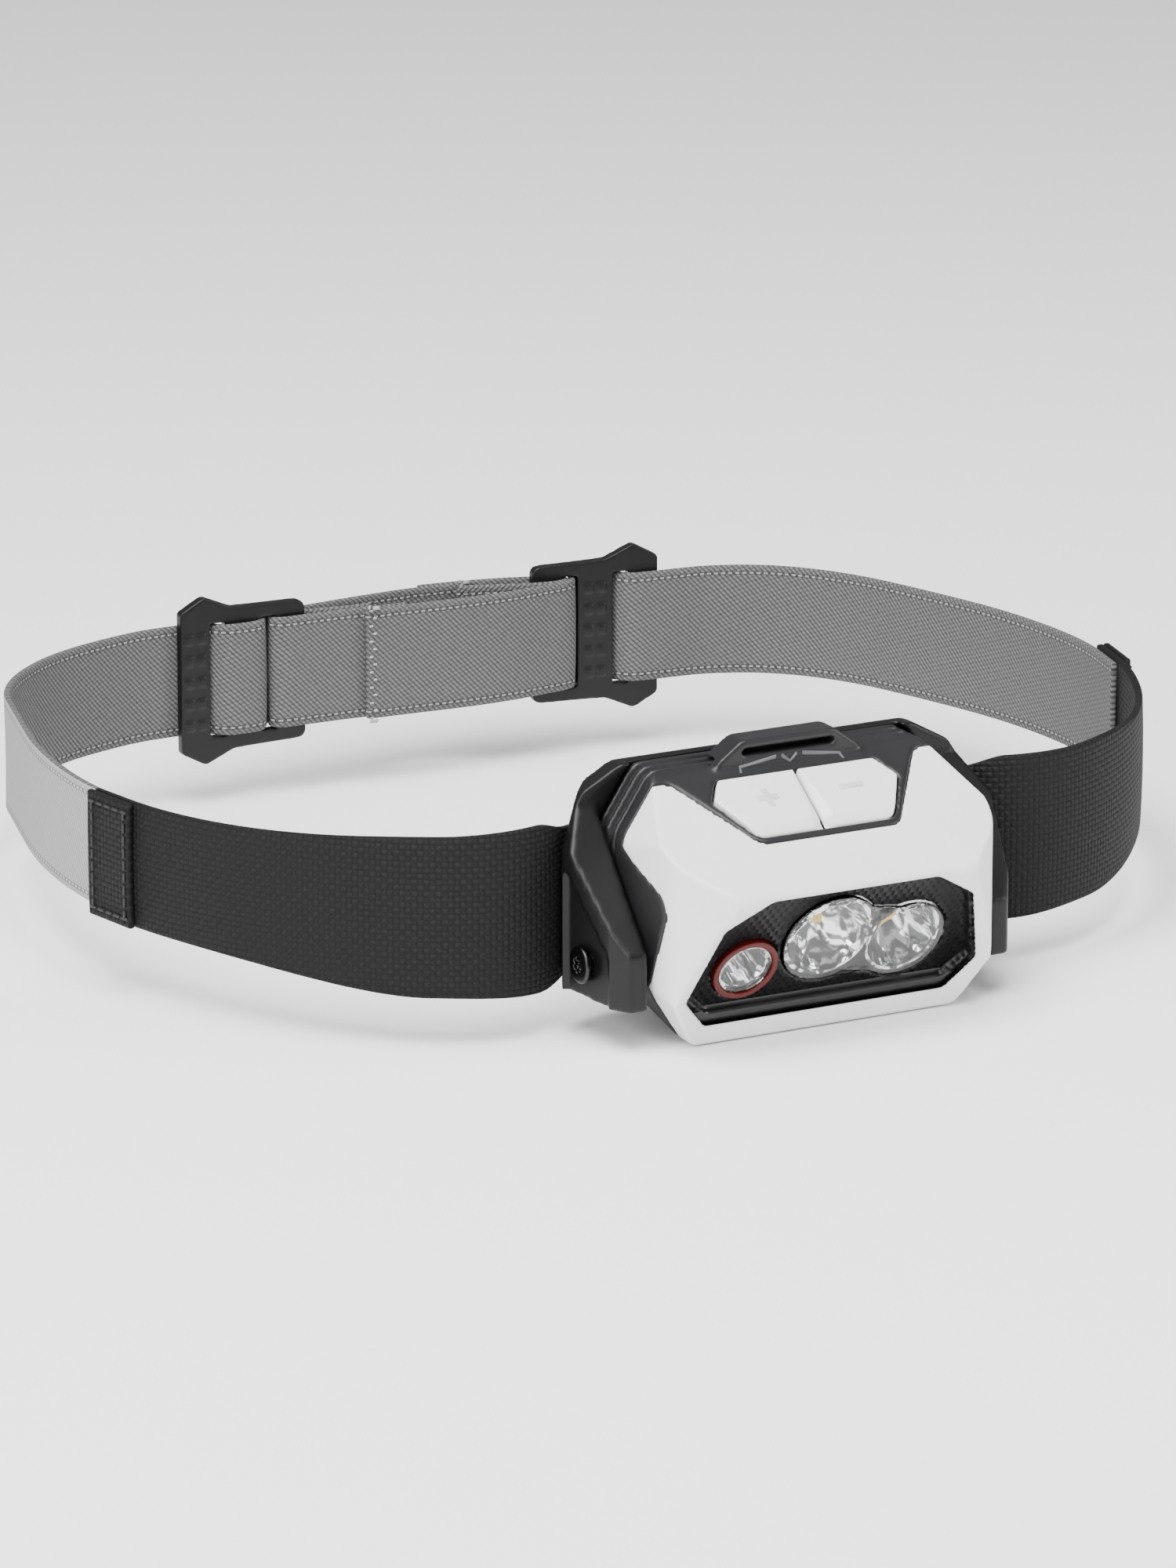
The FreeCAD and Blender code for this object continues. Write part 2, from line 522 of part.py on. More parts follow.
def make_rear_case():
    """Ribbed tray for the cells with two pivot lugs and two hinge knuckles."""
    rear = Vector(0, size("rear_y"), 0)
    depth = size("rear_y") - SPLIT_Y
    parts = [extrude("case_core", [case_outline(size("rib_depth"), 0.3)], FRONT, str(depth), base=rear)]
    knuckles = []
    pitch = (depth - size("rib_plate")) / 2
    for index in range(3):
        parts.append(extrude(f"case_rib_{index}", [case_outline()], FRONT, "Sizes.rib_plate",
                             base=rear - Vector(0, pitch * index, 0)))
    for side in (-1, 1):
        ends = sorted((side * size("case_half"), side * (size("case_half") - size("lug_plate"))))
        parts.append(across(f"lug_{side + 1}", "Sizes.lug_radius", *ends, PIVOT_Y, PIVOT_Z))
        low = PIVOT_Z - size("lug_radius")
        high = PIVOT_Z + size("lug_radius")
        arm = [(PIVOT_Y, low, 0), (SPLIT_Y + 2, low, 0), (SPLIT_Y + 2, high, 0), (PIVOT_Y, high, 0)]
        parts.append(extrude(f"lug_arm_{side + 1}", [arm], SIDE, "Sizes.lug_plate", base=Vector(ends[0], 0, 0)))
        knuckles.append(hinge_bar(f"rear_knuckle_{side + 1}", side * outer_knuckle_x(), size("outer_knuckle"),
                                  "Sizes.knuckle_radius"))
    bay = extrude("rear_bay_prism", [bay_outline()], FRONT, str(depth + 5),
                  base=rear - Vector(0, size("rear_wall"), 0))
    bay_heel = heel("bay_heel", HEEL_RADIUS - size("heel_wall"))
    knuckle_room = hinge_bar("front_knuckle_room", 0, size("middle_knuckle") + 2 * size("knuckle_gap"),
                             "Sizes.knuckle_radius + Sizes.knuckle_gap")
    pin_hole = hinge_bar("rear_pin_hole", 0, 60, "Sizes.hinge_pin_radius")
    bore = across("pivot_bore", "Sizes.screw_radius + Sizes.running_gap", -60, 60, PIVOT_Y, PIVOT_Z)
    tray = cut("case_solid", fuse("case_ribbed", *parts), heel("case_heel", HEEL_RADIUS))
    solid = fuse("case_knuckled", tray, *knuckles)
    node("rear_case", cut("case_hollow", solid, cut("rear_bay", bay, bay_heel), knuckle_room, pin_hole, bore))


def make_hinge_pin():
    half = size("middle_knuckle") / 2 + size("knuckle_gap") + size("outer_knuckle")
    node("hinge_pin", across("pin", "Sizes.hinge_pin_radius", -half, half, HINGE_Y, HINGE_Z))


def gasket_loops(gap=0.0):
    """Ring in the shell's rear rim, round the bay."""
    land = size("gasket_land")
    return [bay_outline(-land - size("gasket_width") - gap), bay_outline(-land + gap)]


def make_gasket():
    start = SPLIT_Y - size("split_gap") - 0.05
    ring = extrude("gasket", gasket_loops(), FRONT, "Sizes.gasket_plate - 0.1", base=Vector(0, start, 0))
    node("case_gasket", ring)


# ---------------------------------------------------------------- keys and boards

def make_keys():
    """Two keys side by side, parted by a narrow slot."""
    for label, side in (("plus_key", -1), ("minus_key", 1)):
        plate = key_prism(label + "_plate", [key_outline()], size("key_proud") - size("key_plate"),
                          "Sizes.key_plate")
        edge = side * size("key_split") / 2
        far = side * 60
        limit = key_prism(label + "_half", [[(edge, -60, 0), (far, -60, 0), (far, 60, 0), (edge, 60, 0)]],
                          -20, "40")
        node(label, common(label + "_body", plate, limit))


def make_switches():
    """A small board under the keys' floor with two dome switches that stand in its well."""
    board_top = ROOF_LEVEL - 0.02
    dome_top = -(KEY_ROOM - 0.1) - 0.1
    domes = []
    for side in (-1, 1):
        spot = key_spot(side * size("switch_x"), size("switch_v"), board_top)
        domes.append(block(f"dome_{side + 1}", "Sizes.switch_side", "Sizes.switch_side", str(dome_top - board_top),
                           spot))
    node("key_switches", group("domes", *domes))
    board_spot = key_spot(0, size("key_board_v"), board_top - size("board_plate"))
    node("key_board", block("switch_board", "2 * Sizes.key_board_half", "Sizes.key_board_width",
                            "Sizes.board_plate", board_spot))


def make_inner_cover():
    """Wall between the cells and the electronics, on a ledge round the hollow."""
    plate = extrude("cover_plate_prism", [bay_outline(size("skin_gap"))], FRONT, "Sizes.cover_plate - 0.02",
                    base=Vector(0, COVER_REAR, 0))
    node("inner_cover", common("cover", plate, under_slope("cover_roof", ROOF_LEVEL - size("skin_gap"))))


# ---------------------------------------------------------------- optics

def twin_lens_volume(name, grow, level, height):
    """Two round lobes and the bridge between them; height is an expression."""
    flood = Vector(size("flood_x"), size("flood_v"), 0)
    spot = Vector(size("spot_x"), size("spot_v"), 0)
    rods = [window_rod(name + "_flood", flood.x, flood.y, level, f"Sizes.flood_radius + {grow}", height),
            window_rod(name + "_spot", spot.x, spot.y, level, f"Sizes.spot_radius + {grow}", height)]
    along = (spot - flood).normalize()
    reach = Vector(-along.y, along.x, 0) * (size("waist_half") + grow)
    corners = [flood + reach, spot + reach, spot - reach, flood - reach]
    bridge = window_prism(name + "_bridge", [[(corner.x, corner.y, 0) for corner in corners]], level, height)
    return fuse(name, *rods, bridge)


def board_level():
    """Front face of the light board."""
    return -size("panel_back") - size("bowl_depth") - 0.2


def board_screw_spots():
    return [(-18.5, 5.0), (19.0, 5.2), (19.8, -6.9), (-9.0, -6.6)]


def make_panel():
    """Black panel: a lap behind the bezel, a recessed face, a ledge along its foot, lens holes and board posts."""
    plate = common("panel_in_bezel",
                   window_prism("panel_plate", [window_outline(-size("panel_lap"))], -size("panel_back"),
                                "Sizes.panel_back - Sizes.panel_front"),
                   under_slope("panel_roof", -size("bezel_wall") - size("skin_gap")))
    foot = size("window_foot") + size("panel_rim")
    recess_loop = [(x, y + size("panel_ledge") if y < foot + 0.5 else y, radius)
                   for x, y, radius in inset(window_outline(), size("panel_rim"))]
    recess = window_prism("panel_recess", [recess_loop], -size("panel_face"), "6")
    recess.setExpression("TaperAngle", "12")
    posts = []
    holes = []
    for index, (x, v) in enumerate(board_screw_spots()):
        depth = board_level() + size("panel_back")
        posts.append(window_rod(f"board_post_{index}", x, v, board_level() + 0.02, "Sizes.board_post_radius",
                                str(-depth)))
        holes.append(window_rod(f"post_hole_{index}", x, v, board_level() - 1,
                                "Sizes.board_screw_radius + Sizes.running_gap", "4"))
    twin = twin_lens_volume("twin_hole", size("lens_rim") + size("skin_gap"), -6.0, "12")
    near = window_rod("near_hole", size("near_x"), size("near_v"), -6.0,
                      "Sizes.near_radius + Sizes.ring_width + Sizes.running_gap", "12")
    node("lens_panel", cut("panel_body", fuse("panel_posted", plate, *posts), recess, twin, near, *holes))


def make_lenses():
    level = -size("panel_back")
    thick = "Sizes.panel_back - Sizes.panel_face"
    rim = twin_lens_volume("twin_rim", size("lens_rim"), level, thick + " + Sizes.rim_stand")
    lens = twin_lens_volume("twin_plate", 0.0, level, thick + " + Sizes.lens_stand")
    node("twin_lens", fuse("twin_lens_body", rim, lens))
    x, v = size("near_x"), size("near_v")
    node("near_lens", window_rod("near_glass", x, v, level, "Sizes.near_radius", thick + " + Sizes.rim_stand"))
    outer = window_rod("ring_outer", x, v, level, "Sizes.near_radius + Sizes.ring_width",
                       thick + " + Sizes.ring_stand")
    inner = window_rod("ring_inner", x, v, level - 4, "Sizes.near_radius + Sizes.running_gap", "20")
    node("near_ring", cut("ring_body", outer, inner))


def bowl_mouth(lamp):
    return size(lamp + "_radius") - size("bowl_inset")


def beside_parting(name, side):
    """Everything on one side of the plane where the flood and spot bowls meet."""
    flood = Vector(size("flood_x"), size("flood_v"), 0)
    spot = Vector(size("spot_x"), size("spot_v"), 0)
    along = (spot - flood).normalize()
    apart = (spot - flood).Length
    wide, narrow = (bowl_mouth(lamp) + size("bowl_wall") for lamp in ("flood", "spot"))
    middle = flood + along * ((wide ** 2 - narrow ** 2 + apart ** 2) / (2 * apart) + side * size("running_gap"))
    across_it = Vector(-along.y, along.x, 0) * 40
    far = along * (40 * side)
    corners = [middle + across_it, middle - across_it, middle - across_it + far, middle + across_it + far]
    return window_prism(name, [[(corner.x, corner.y, 0) for corner in corners]], -30, "40")


def make_reflector(lamp, x, v):
    """Reflector bowl behind a lens, wide at the front."""
    label = lamp + "_reflector"
    mouth = bowl_mouth(lamp)
    wall = size("bowl_wall")
    deep = size("bowl_depth")
    throat = size("bowl_throat")
    waist = mouth * 0.72
    profile = [(mouth, 0, 0), (waist, -deep * 0.55, 6.0), (throat, -deep, 0), (throat + wall, -deep, 0),
               (waist + wall * 1.3, -deep * 0.62, 6.0), (mouth + wall, -0.9, 0), (mouth + wall, 0, 0)]
    spot = window_spot(x, v, -size("panel_back") - 0.1)
    bowl = revolve(label + "_bowl", profile, spot.Rotation, spot.Base)
    if lamp != "near":
        bowl = common(label + "_parted", bowl, beside_parting(label + "_side", -1 if lamp == "flood" else 1))
    node(label, bowl)


def make_led(label, x, v):
    """Emitter on the board, in the throat of its bowl."""
    node(label, block(label + "_chip", "Sizes.led_side", "Sizes.led_side", "Sizes.led_height",
                      window_spot(x, v, board_level())))


def make_boards():
    """Light board on the panel's posts, and its screws."""
    loop = mirrored([(21.4, 7.2, 2.0), (22.8, -5.0, 2.0), (21.4, -9.0, 2.0)])
    board = window_prism("board", [loop], board_level() - size("board_plate"), "Sizes.board_plate")
    screws = []
    holes = []
    for index, (x, v) in enumerate(board_screw_spots()):
        back = board_level() - size("board_plate")
        holes.append(window_rod(f"board_hole_{index}", x, v, back - 1,
                                "Sizes.board_screw_radius + Sizes.running_gap", "4"))
        shank = window_rod(f"board_shank_{index}", x, v, back - 0.3, "Sizes.board_screw_radius", "3.4")
        head = window_rod(f"board_head_{index}", x, v, back - 0.6, "1.7", "0.58")
        screws.append(fuse(f"board_screw_{index}", shank, head))
    node("led_board", cut("board_drilled", board, *holes))
    node("board_screws", group("board_screw_set", *screws))


# ---------------------------------------------------------------- cells and contacts

def cell_levels():
    return [size("cell_low_z") + index * CELL_PITCH for index in range(3)]


def make_cells():
    """Three cells one above another in the bay, alternately turned."""
    for label, z, way in zip(("aaa_cell_bottom", "aaa_cell_middle", "aaa_cell_top"), cell_levels(), (1, -1, 1)):
        half = size("cell_length") / 2
        push = size("spring_length") / 2
        can_end = half - size("nub_length")
        radius = size("cell_radius")
        profile = [(0, -half, 0), (radius, -half, 0.5), (radius, can_end, 0.5), (size("nub_radius"), can_end, 0),
                   (size("nub_radius"), half, 0.3), (0, half, 0)]
        node(label, revolve(label + "_can", profile, Rotation(Vector(0, 1, 0), 90 * way),
                            Vector(way * push, CELL_Y, z)))


def make_contacts():
    """A plate at each end of the bay, and a spring on each cell's flat end."""
    bottom = cell_levels()[0] - size("cell_radius") / 2 - 0.5
    top = cell_levels()[2] + 0.5
    loop = [(CELL_Y - 3.5, bottom, 1.0), (CELL_Y + 3.0, bottom, 1.0), (CELL_Y + 3.0, top, 1.0),
            (CELL_Y - 3.5, top, 1.0)]
    inner_x = (size("cell_length") + size("spring_length")) / 2 + size("running_gap")
    for label, x in (("contact_right", inner_x), ("contact_left", -inner_x - size("contact_plate"))):
        node(label, extrude(label + "_plate", [loop], SIDE, "Sizes.contact_plate", base=Vector(x, 0, 0)))
    start = inner_x - size("spring_length")
    reach = size("spring_length") - size("running_gap")
    springs = []
    for index, (z, side) in enumerate(zip(cell_levels(), (-1, 1, -1))):
        profile = [(0, 0, 0), (2.4, 0, 0), (3.0, reach, 0), (0, reach, 0)]
        springs.append(revolve(f"spring_{index}", profile, Rotation(Vector(0, 1, 0), 90 * side),
                               Vector(side * start, CELL_Y, z)))
    node("cell_springs", group("spring_set", *springs))


# ---------------------------------------------------------------- bracket

def bracket_outline(depth=0.0):
    """Front view of the bracket: a rim round the case's top, then wings down to the ears."""
    half = [(CROWN_HALF + 2.5, CROWN_Z + size("bracket_rise"), 4.0),
            (size("case_half") + size("bracket_shoulder_reach"), CROWN_Z - size("bracket_shoulder_drop"), 3.0),
            (BRACKET_HALF, size("bracket_flank"), 1.0), (BRACKET_HALF, size("bracket_floor"), 0.0)]
    return inset(mirrored(half), depth)


def strap_clearance():
    """From the strap's route to the nearest face of the bracket that it passes."""
    return size("layer_gap") / 2 + size("webbing") + size("free_gap")


def wing_rear(x):
    """Rear face of a wing at a distance from the middle, clear of the strap that slants past it."""
    (x1, y1), (x2, y2) = bracket_run()
    slope = (y2 - y1) / (x2 - x1)
    return y1 + (x - x1) * slope - strap_clearance() * math.hypot(1, slope)


def wing_plan():
    """View from above of one wing and ear: out behind the strap's bend, then forward beside the case."""
    inner = size("case_half") + size("case_gap")
    outer = BRACKET_HALF - 0.1
    (x1, y1), (x2, y2) = bracket_run()
    shoulder = x1 + (PLATE_REAR - wing_rear(x1)) * (x2 - x1) / (y2 - y1)
    return [(inner, EAR_NOSE_Y, 0), (size("case_half") + size("ear_nose_reach"), EAR_NOSE_Y, 0.6),
            (size("case_half") + size("ear_reach"), EAR_Y, 0.6), (outer, WING_Y, 0.6),
            (outer - 1.0, wing_rear(outer - 1.0), 0.6), (shoulder, PLATE_REAR, 1.0),
            (inner - 3.0, PLATE_REAR, 0), (inner - 3.0, PLATE_Y, 0), (inner, PLATE_Y, 0)]


def ahead_of_strap():
    """Everything ahead of the strap's two slanting runs."""
    near, far = bracket_run()[0][0], BRACKET_HALF + 1
    loop = [(-far, -140, 0), (far, -140, 0), (far, wing_rear(far), 0), (near, wing_rear(near), 0),
            (-near, wing_rear(near), 0), (-far, wing_rear(far), 0)]
    return extrude("ahead_of_strap", [loop], PLAN, FAR, FAR)


def ear_profile():
    """Side view of an ear: a slanting front edge down to the knee, then straight to its foot."""
    nose = EAR_NOSE_Y - 0.2
    return [(PLATE_Y + 5, 40, 0), (PLATE_Y - 1.2, 40, 0), (PLATE_Y - 1.2, size("bracket_flank") + 8.0, 2.0),
            (nose, size("ear_knee_z"), 1.2), (nose, size("ear_floor_z"), 1.0),
            (WING_Y, size("bracket_floor") + 0.6, 6.0), (PLATE_Y + 5, size("bracket_floor"), 0)]


def recess_profile():
    """Side view of the sunk face of an ear, behind its ridge."""
    return [(WING_Y - 0.2, size("bracket_flank") - 1.6, 0.5), (EAR_Y + 0.5, size("ear_knee_z") - 0.8, 1.5),
            (EAR_Y + 0.8, -30, 0), (PLATE_Y + 8, -30, 0), (PLATE_Y + 8, 2.0, 0)]


def recess_plan(side):
    """View from above of the sunk face of an ear."""
    deep = size("recess_depth")
    out = BRACKET_HALF + 6
    half = [(size("case_half") + size("ear_reach") - deep, EAR_Y - 1), (BRACKET_HALF - deep, WING_Y),
            (out, WING_Y), (out, EAR_Y - 1)]
    return [(side * x, y, 0) for x, y in half]


def recess_x(y):
    """Distance of an ear's sunk face from the middle."""
    share = (WING_Y - y) / (WING_Y - EAR_Y + 1)
    near = BRACKET_HALF - size("recess_depth")
    far = size("case_half") + size("ear_reach") - size("recess_depth")
    return near + (far - near) * share


def make_bracket():
    plate = extrude("back_plate", [bracket_outline()], FRONT, "Sizes.plate", base=Vector(0, PLATE_REAR, 0))
    middle = block("plate_middle", "2 * (Sizes.case_half + 0.2)", "20", "80",
                   Placement(Vector(0, PLATE_Y, -40), Rotation()))
    relief_half = outer_knuckle_x() + size("outer_knuckle") / 2 + size("relief_margin")
    relief = block("hinge_relief", str(2 * relief_half), "20", "20",
                   Placement(Vector(0, PLATE_Y, size("relief_z") - 20), Rotation()))
    plate_part = cut("plate_body", common("plate_core", plate, middle), relief)
    rim_base = Vector(0, PLATE_Y + 0.1, 0)
    rim_ring = cut("rim_ring", extrude("rim_outside", [bracket_outline()], FRONT, "Sizes.rim_reach + 0.1", base=rim_base),
                   extrude("rim_inside", [inset(case_outline(), -size("case_gap"))], FRONT, FAR, FAR, base=rim_base))
    rim_top = block("rim_top", "200", "20", "60", Placement(Vector(0, PLATE_Y, size("bracket_flank")), Rotation()))
    parts = [plate_part, common("rim", rim_ring, rim_top, ahead_of_strap())]
    for side in (-1, 1):
        plan = [(side * x, y, radius) for x, y, radius in wing_plan()]
        ear = common(f"ear_{side + 1}", extrude(f"wing_{side + 1}", [plan], PLAN, FAR, FAR),
                     extrude(f"ear_side_{side + 1}", [ear_profile()], SIDE, FAR, FAR),
                     extrude(f"ear_front_{side + 1}", [bracket_outline()], FRONT, FAR, FAR))
        sunk = common(f"recess_{side + 1}", extrude(f"recess_plan_{side + 1}", [recess_plan(side)], PLAN, FAR, FAR),
                      extrude(f"recess_side_{side + 1}", [recess_profile()], SIDE, FAR, FAR))
        parts.append(cut(f"ear_cut_{side + 1}", ear, sunk))
        parts.append(strap_bar(side))
    bore = across("bracket_bore", "Sizes.screw_radius + Sizes.running_gap / 2", -60, 60, PIVOT_Y, PIVOT_Z)
    node("bracket", cut("bracket_drilled", fuse("bracket_solid", *parts), bore))


def strap_bar(side):
    """Loop on the bracket's back that the webbing passes through."""
    clear = size("webbing") + 2 * size("free_gap")
    reach = clear + size("strap_bar")
    low = size("webbing_pinch_bottom") - size("free_gap")
    high = size("webbing_pinch_top") + size("free_gap")
    rear = PLATE_REAR
    outer = [(rear - 0.5, high + 1.6, 0), (rear + reach, high + 1.6, 1.0), (rear + reach, low - 1.6, 1.0),
             (rear - 0.5, low - 1.6, 0)]
    inner = [(rear, high, 0), (rear + clear, high, 0), (rear + clear, low, 0), (rear, low, 0)]
    start = side * size("strap_bar_x") - size("strap_bar_width") / 2
    return extrude(f"strap_bar_{side + 1}", [outer, inner], SIDE, "Sizes.strap_bar_width", base=Vector(start, 0, 0))


def make_pivot_screws():
    """Star-recess screws: the head lies on the ear's sunk face and the shank ends in the case's lug."""
    screws = []
    tip = size("case_half") - size("lug_plate") + 0.8
    length = recess_x(PIVOT_Y) - tip
    head = length + size("screw_head_height")
    for side in (-1, 1):
        turn = Rotation(Vector(0, 1, 0), 90 * side)
        spot = Vector(side * tip, PIVOT_Y, PIVOT_Z)
        profile = [(0, 0, 0), (size("screw_radius"), 0, 0.2), (size("screw_radius"), length + 0.6, 0),
                   (size("screw_head"), length + 0.75, 0.1), (size("screw_head"), head + 0.3, 0.4),
                   (0, head + 0.5, 0)]
        body = revolve(f"pivot_screw_{side + 1}", profile, turn, spot)
        stars = []
        for index in range(3):
            turned = Placement(Vector(0, 0, head - 0.4), Rotation(Vector(0, 0, 1), 60 * index))
            stars.append(block(f"star_{side + 1}_{index}", "2.8", "0.8", "3", Placement(spot, turn).multiply(turned)))
        screws.append(cut(f"screw_{side + 1}", body, *stars))
    node("pivot_screws", group("pivot_screw_set", *screws))


# ---------------------------------------------------------------- straps and sliders

def bracket_run():
    """The strap's slanting run past a wing, as its two corners."""
    return (size("case_half") + 1.4, STRAP_Y), (size("case_half") + 12.2, STRAP_Y - 9.0)


def side_route(side):
    """The strap's route round one temple, seen from above, as (x, y, radius) with None for the widest arc."""
    reach = size("reach_right") if side > 0 else size("reach_left")
    (x1, y1), (entry, y2) = bracket_run()
    near = [(x1, y1, 4.0), (entry, y2, None)]
    away = [(57.5, -73.4), (71.5, -63.6), (83.0, -48.5), (91.5, -30.5), (95.8, -9.0), (94.0, 13.0), (88.0, 34.0)]
    last = max(x for x, y in away)
    start = 43.2
    stretch = (reach - entry) / (last - start)
    far = [(entry + (x - start) * stretch, y, None) for x, y in away]
    return [(side * x, y, radius) for x, y, radius in near + far]


def ribbon(name, route, thickness, shift, ahead, behind):
    """A flat band standing on edge along a route of (x, y, radius) points; None takes the widest arc.

    shift moves the band to its left; ahead and behind are expressions for its reach up and down."""
    left, right = [], []
    for i, (x, y, radius) in enumerate(route):
        before = route[max(i - 1, 0)]
        after = route[min(i + 1, len(route) - 1)]
        inner = 0 < i < len(route) - 1
        turn = turn_of(before, (x, y), after) if inner else 0.0
        start = before if i else (x, y)
        end = (x, y) if i else after
        way = math.atan2(end[1] - start[1], end[0] - start[0]) + turn / 2
        shorter = min(math.dist(before[:2], (x, y)), math.dist((x, y), after[:2]))
        if radius is None:
            radius = 0.45 * shorter / math.tan(abs(turn) / 2) if inner else 0.0
        for edge, offset in ((left, shift + thickness / 2), (right, shift - thickness / 2)):
            reach = offset / math.cos(turn / 2)
            corner = (x - reach * math.sin(way), y + reach * math.cos(way))
            bend = radius - offset * math.copysign(1.0, turn) if radius else 0.0
            edge.append((*corner, max(bend, 0.0)))
    return extrude(name, [left + right[::-1]], PLAN, ahead, behind)


SEAM = 6                                  # the route's point next past the seam


def seam_point(side, along):
    """A point on the run that holds the seam, as far from its middle as along says, towards the rear."""
    route = side_route(side)
    first, last = Vector(*route[SEAM - 1][:2], 0), Vector(*route[SEAM][:2], 0)
    point = (first + last) * 0.5 + (last - first).normalize() * along
    return (point.x, point.y, None)


def make_webbing():
    """Black webbing from seam to seam behind the bracket, widest just outside the bracket."""
    lap = size("seam_lap") / 2
    left = [seam_point(-1, lap)] + side_route(-1)[SEAM - 1::-1]
    right = side_route(1)[:SEAM] + [seam_point(1, lap)]
    band = ribbon("webbing_band", left + right, size("webbing"), -size("webbing") / 2 - size("layer_gap") / 2,
                  "40", "40")
    seam = size("elastic_width") / 2 + size("seam_margin")
    pinch = size("case_half") + 4.5
    wide = BRACKET_HALF + 4.0
    upper = [(pinch, size("webbing_pinch_top"), 2), (wide, size("webbing_top"), 3),
             (wide + 16.5, size("webbing_top") - 0.6, 20), (wide + 46.5, seam, 20), (wide + 80, seam, 0)]
    lower = [(pinch, size("webbing_pinch_bottom"), 2), (wide, size("webbing_bottom"), 3),
             (wide + 16.5, size("webbing_bottom") + 0.8, 20), (wide + 46.5, -seam, 20), (wide + 80, -seam, 0)]
    mask = extrude("webbing_mask", [mirrored(upper + lower[::-1])], FRONT, FAR, FAR)
    node("front_webbing", common("webbing_body", band, mask))


def layer_offset():
    """From a slider's middle to the middle of a strap layer beside it."""
    return size("slider_plate") / 2 + size("stud_rise") + size("free_gap") + size("elastic") / 2


def make_elastics():
    """Left elastic runs outside both sliders, right elastic inside them, and they part between the two."""
    half = "Sizes.elastic_width / 2"
    out = layer_offset()
    left_x, left_y = size("left_slider_x"), size("left_slider_y")
    right_x, right_y = size("right_slider_x"), size("right_slider_y")
    turn = math.radians(size("right_slider_turn"))
    lap = size("seam_lap") / 2
    start = size("slider_length") / 2 + 9.0

    def beside_right(along, offset):
        return (right_x + along * math.cos(turn) - offset * math.sin(turn),
                right_y + along * math.sin(turn) + offset * math.cos(turn), None)

    left = [seam_point(-1, -lap)] + side_route(-1)[SEAM:]
    left += [(-80.5, 51.0, None), (-66.0, 65.5, None), (left_x - start, left_y + out, None),
             (left_x + start, left_y + out, None), beside_right(-start - 2, out + 1.0),
             beside_right(-start + 6, out), beside_right(start - 12, out)]
    right = [seam_point(1, -lap)] + side_route(1)[SEAM:]
    right += [(82.5, 50.0, None), (73.5, 61.5, None), beside_right(start, -out), beside_right(-start, -out),
              (6.0, 66.4, None), (left_x + start - 3, left_y - out, None), (left_x + start - 14, left_y - out, None)]
    shift = size("elastic") / 2 + size("layer_gap") / 2
    for label, route in (("elastic_left", left), ("elastic_right", right)):
        node(label, ribbon(label + "_band", inside(route, shift), size("elastic"), 0.0, half, half))


def inside(route, shift):
    """The route with its start moved towards the head, so that the elastic lies inside the webbing."""
    moved = []
    for index, (x, y, radius) in enumerate(route):
        length = math.hypot(x, y)
        share = shift / length if index < 4 else 0.0
        moved.append((x - share * x, y - share * y, radius))
    return moved


def slider_outline(side):
    """Front view of a slider: tall by its tail bar, waisted, then a plain narrow end. side turns it round."""
    start = -size("slider_length") / 2
    peak_x = start + size("tail_bar")
    end_half = size("elastic_width") / 2 + size("slot_play") / 2 + size("slider_wall")
    upper = [(start, end_half + 0.2, 1.0), (peak_x - 1.0, end_half + size("slider_peak") + 0.2, 1.6),
             (peak_x + 4.5, end_half + 0.3, 4.0), (-start, end_half, 1.5)]
    loop = upper + [(x, -y, radius) for x, y, radius in reversed(upper)]
    return [(side * x, y, radius) for x, y, radius in loop]


def slider_slots(side):
    """The two slots of a slider."""
    half = size("elastic_width") / 2 + size("slot_play") / 2
    first = -size("slider_length") / 2 + size("tail_bar")
    second = first + size("slider_slot") + size("middle_bar")
    loops = []
    for start in (first, second):
        end = start + size("slider_slot")
        loops.append([(side * start, half, 0.4), (side * end, half, 0.4), (side * end, -half, 0.4),
                      (side * start, -half, 0.4)])
    return loops


def slider_studs(side):
    """Raised squares on the two wide bars."""
    first = -size("slider_length") / 2 + size("tail_bar") / 2
    second = first + size("tail_bar") / 2 + size("slider_slot") + size("middle_bar") / 2
    half = size("stud_side") / 2
    loops = []
    for centre in (first, second):
        for column in (-0.5, 0.5):
            for level in range(-2, 3):
                x = centre + column * size("stud_spread")
                z = level * size("stud_pitch")
                loops.append([(side * (x - half), z - half, 0.2), (side * (x + half), z - half, 0.2),
                              (side * (x + half), z + half, 0.2), (side * (x - half), z + half, 0.2)])
    return loops


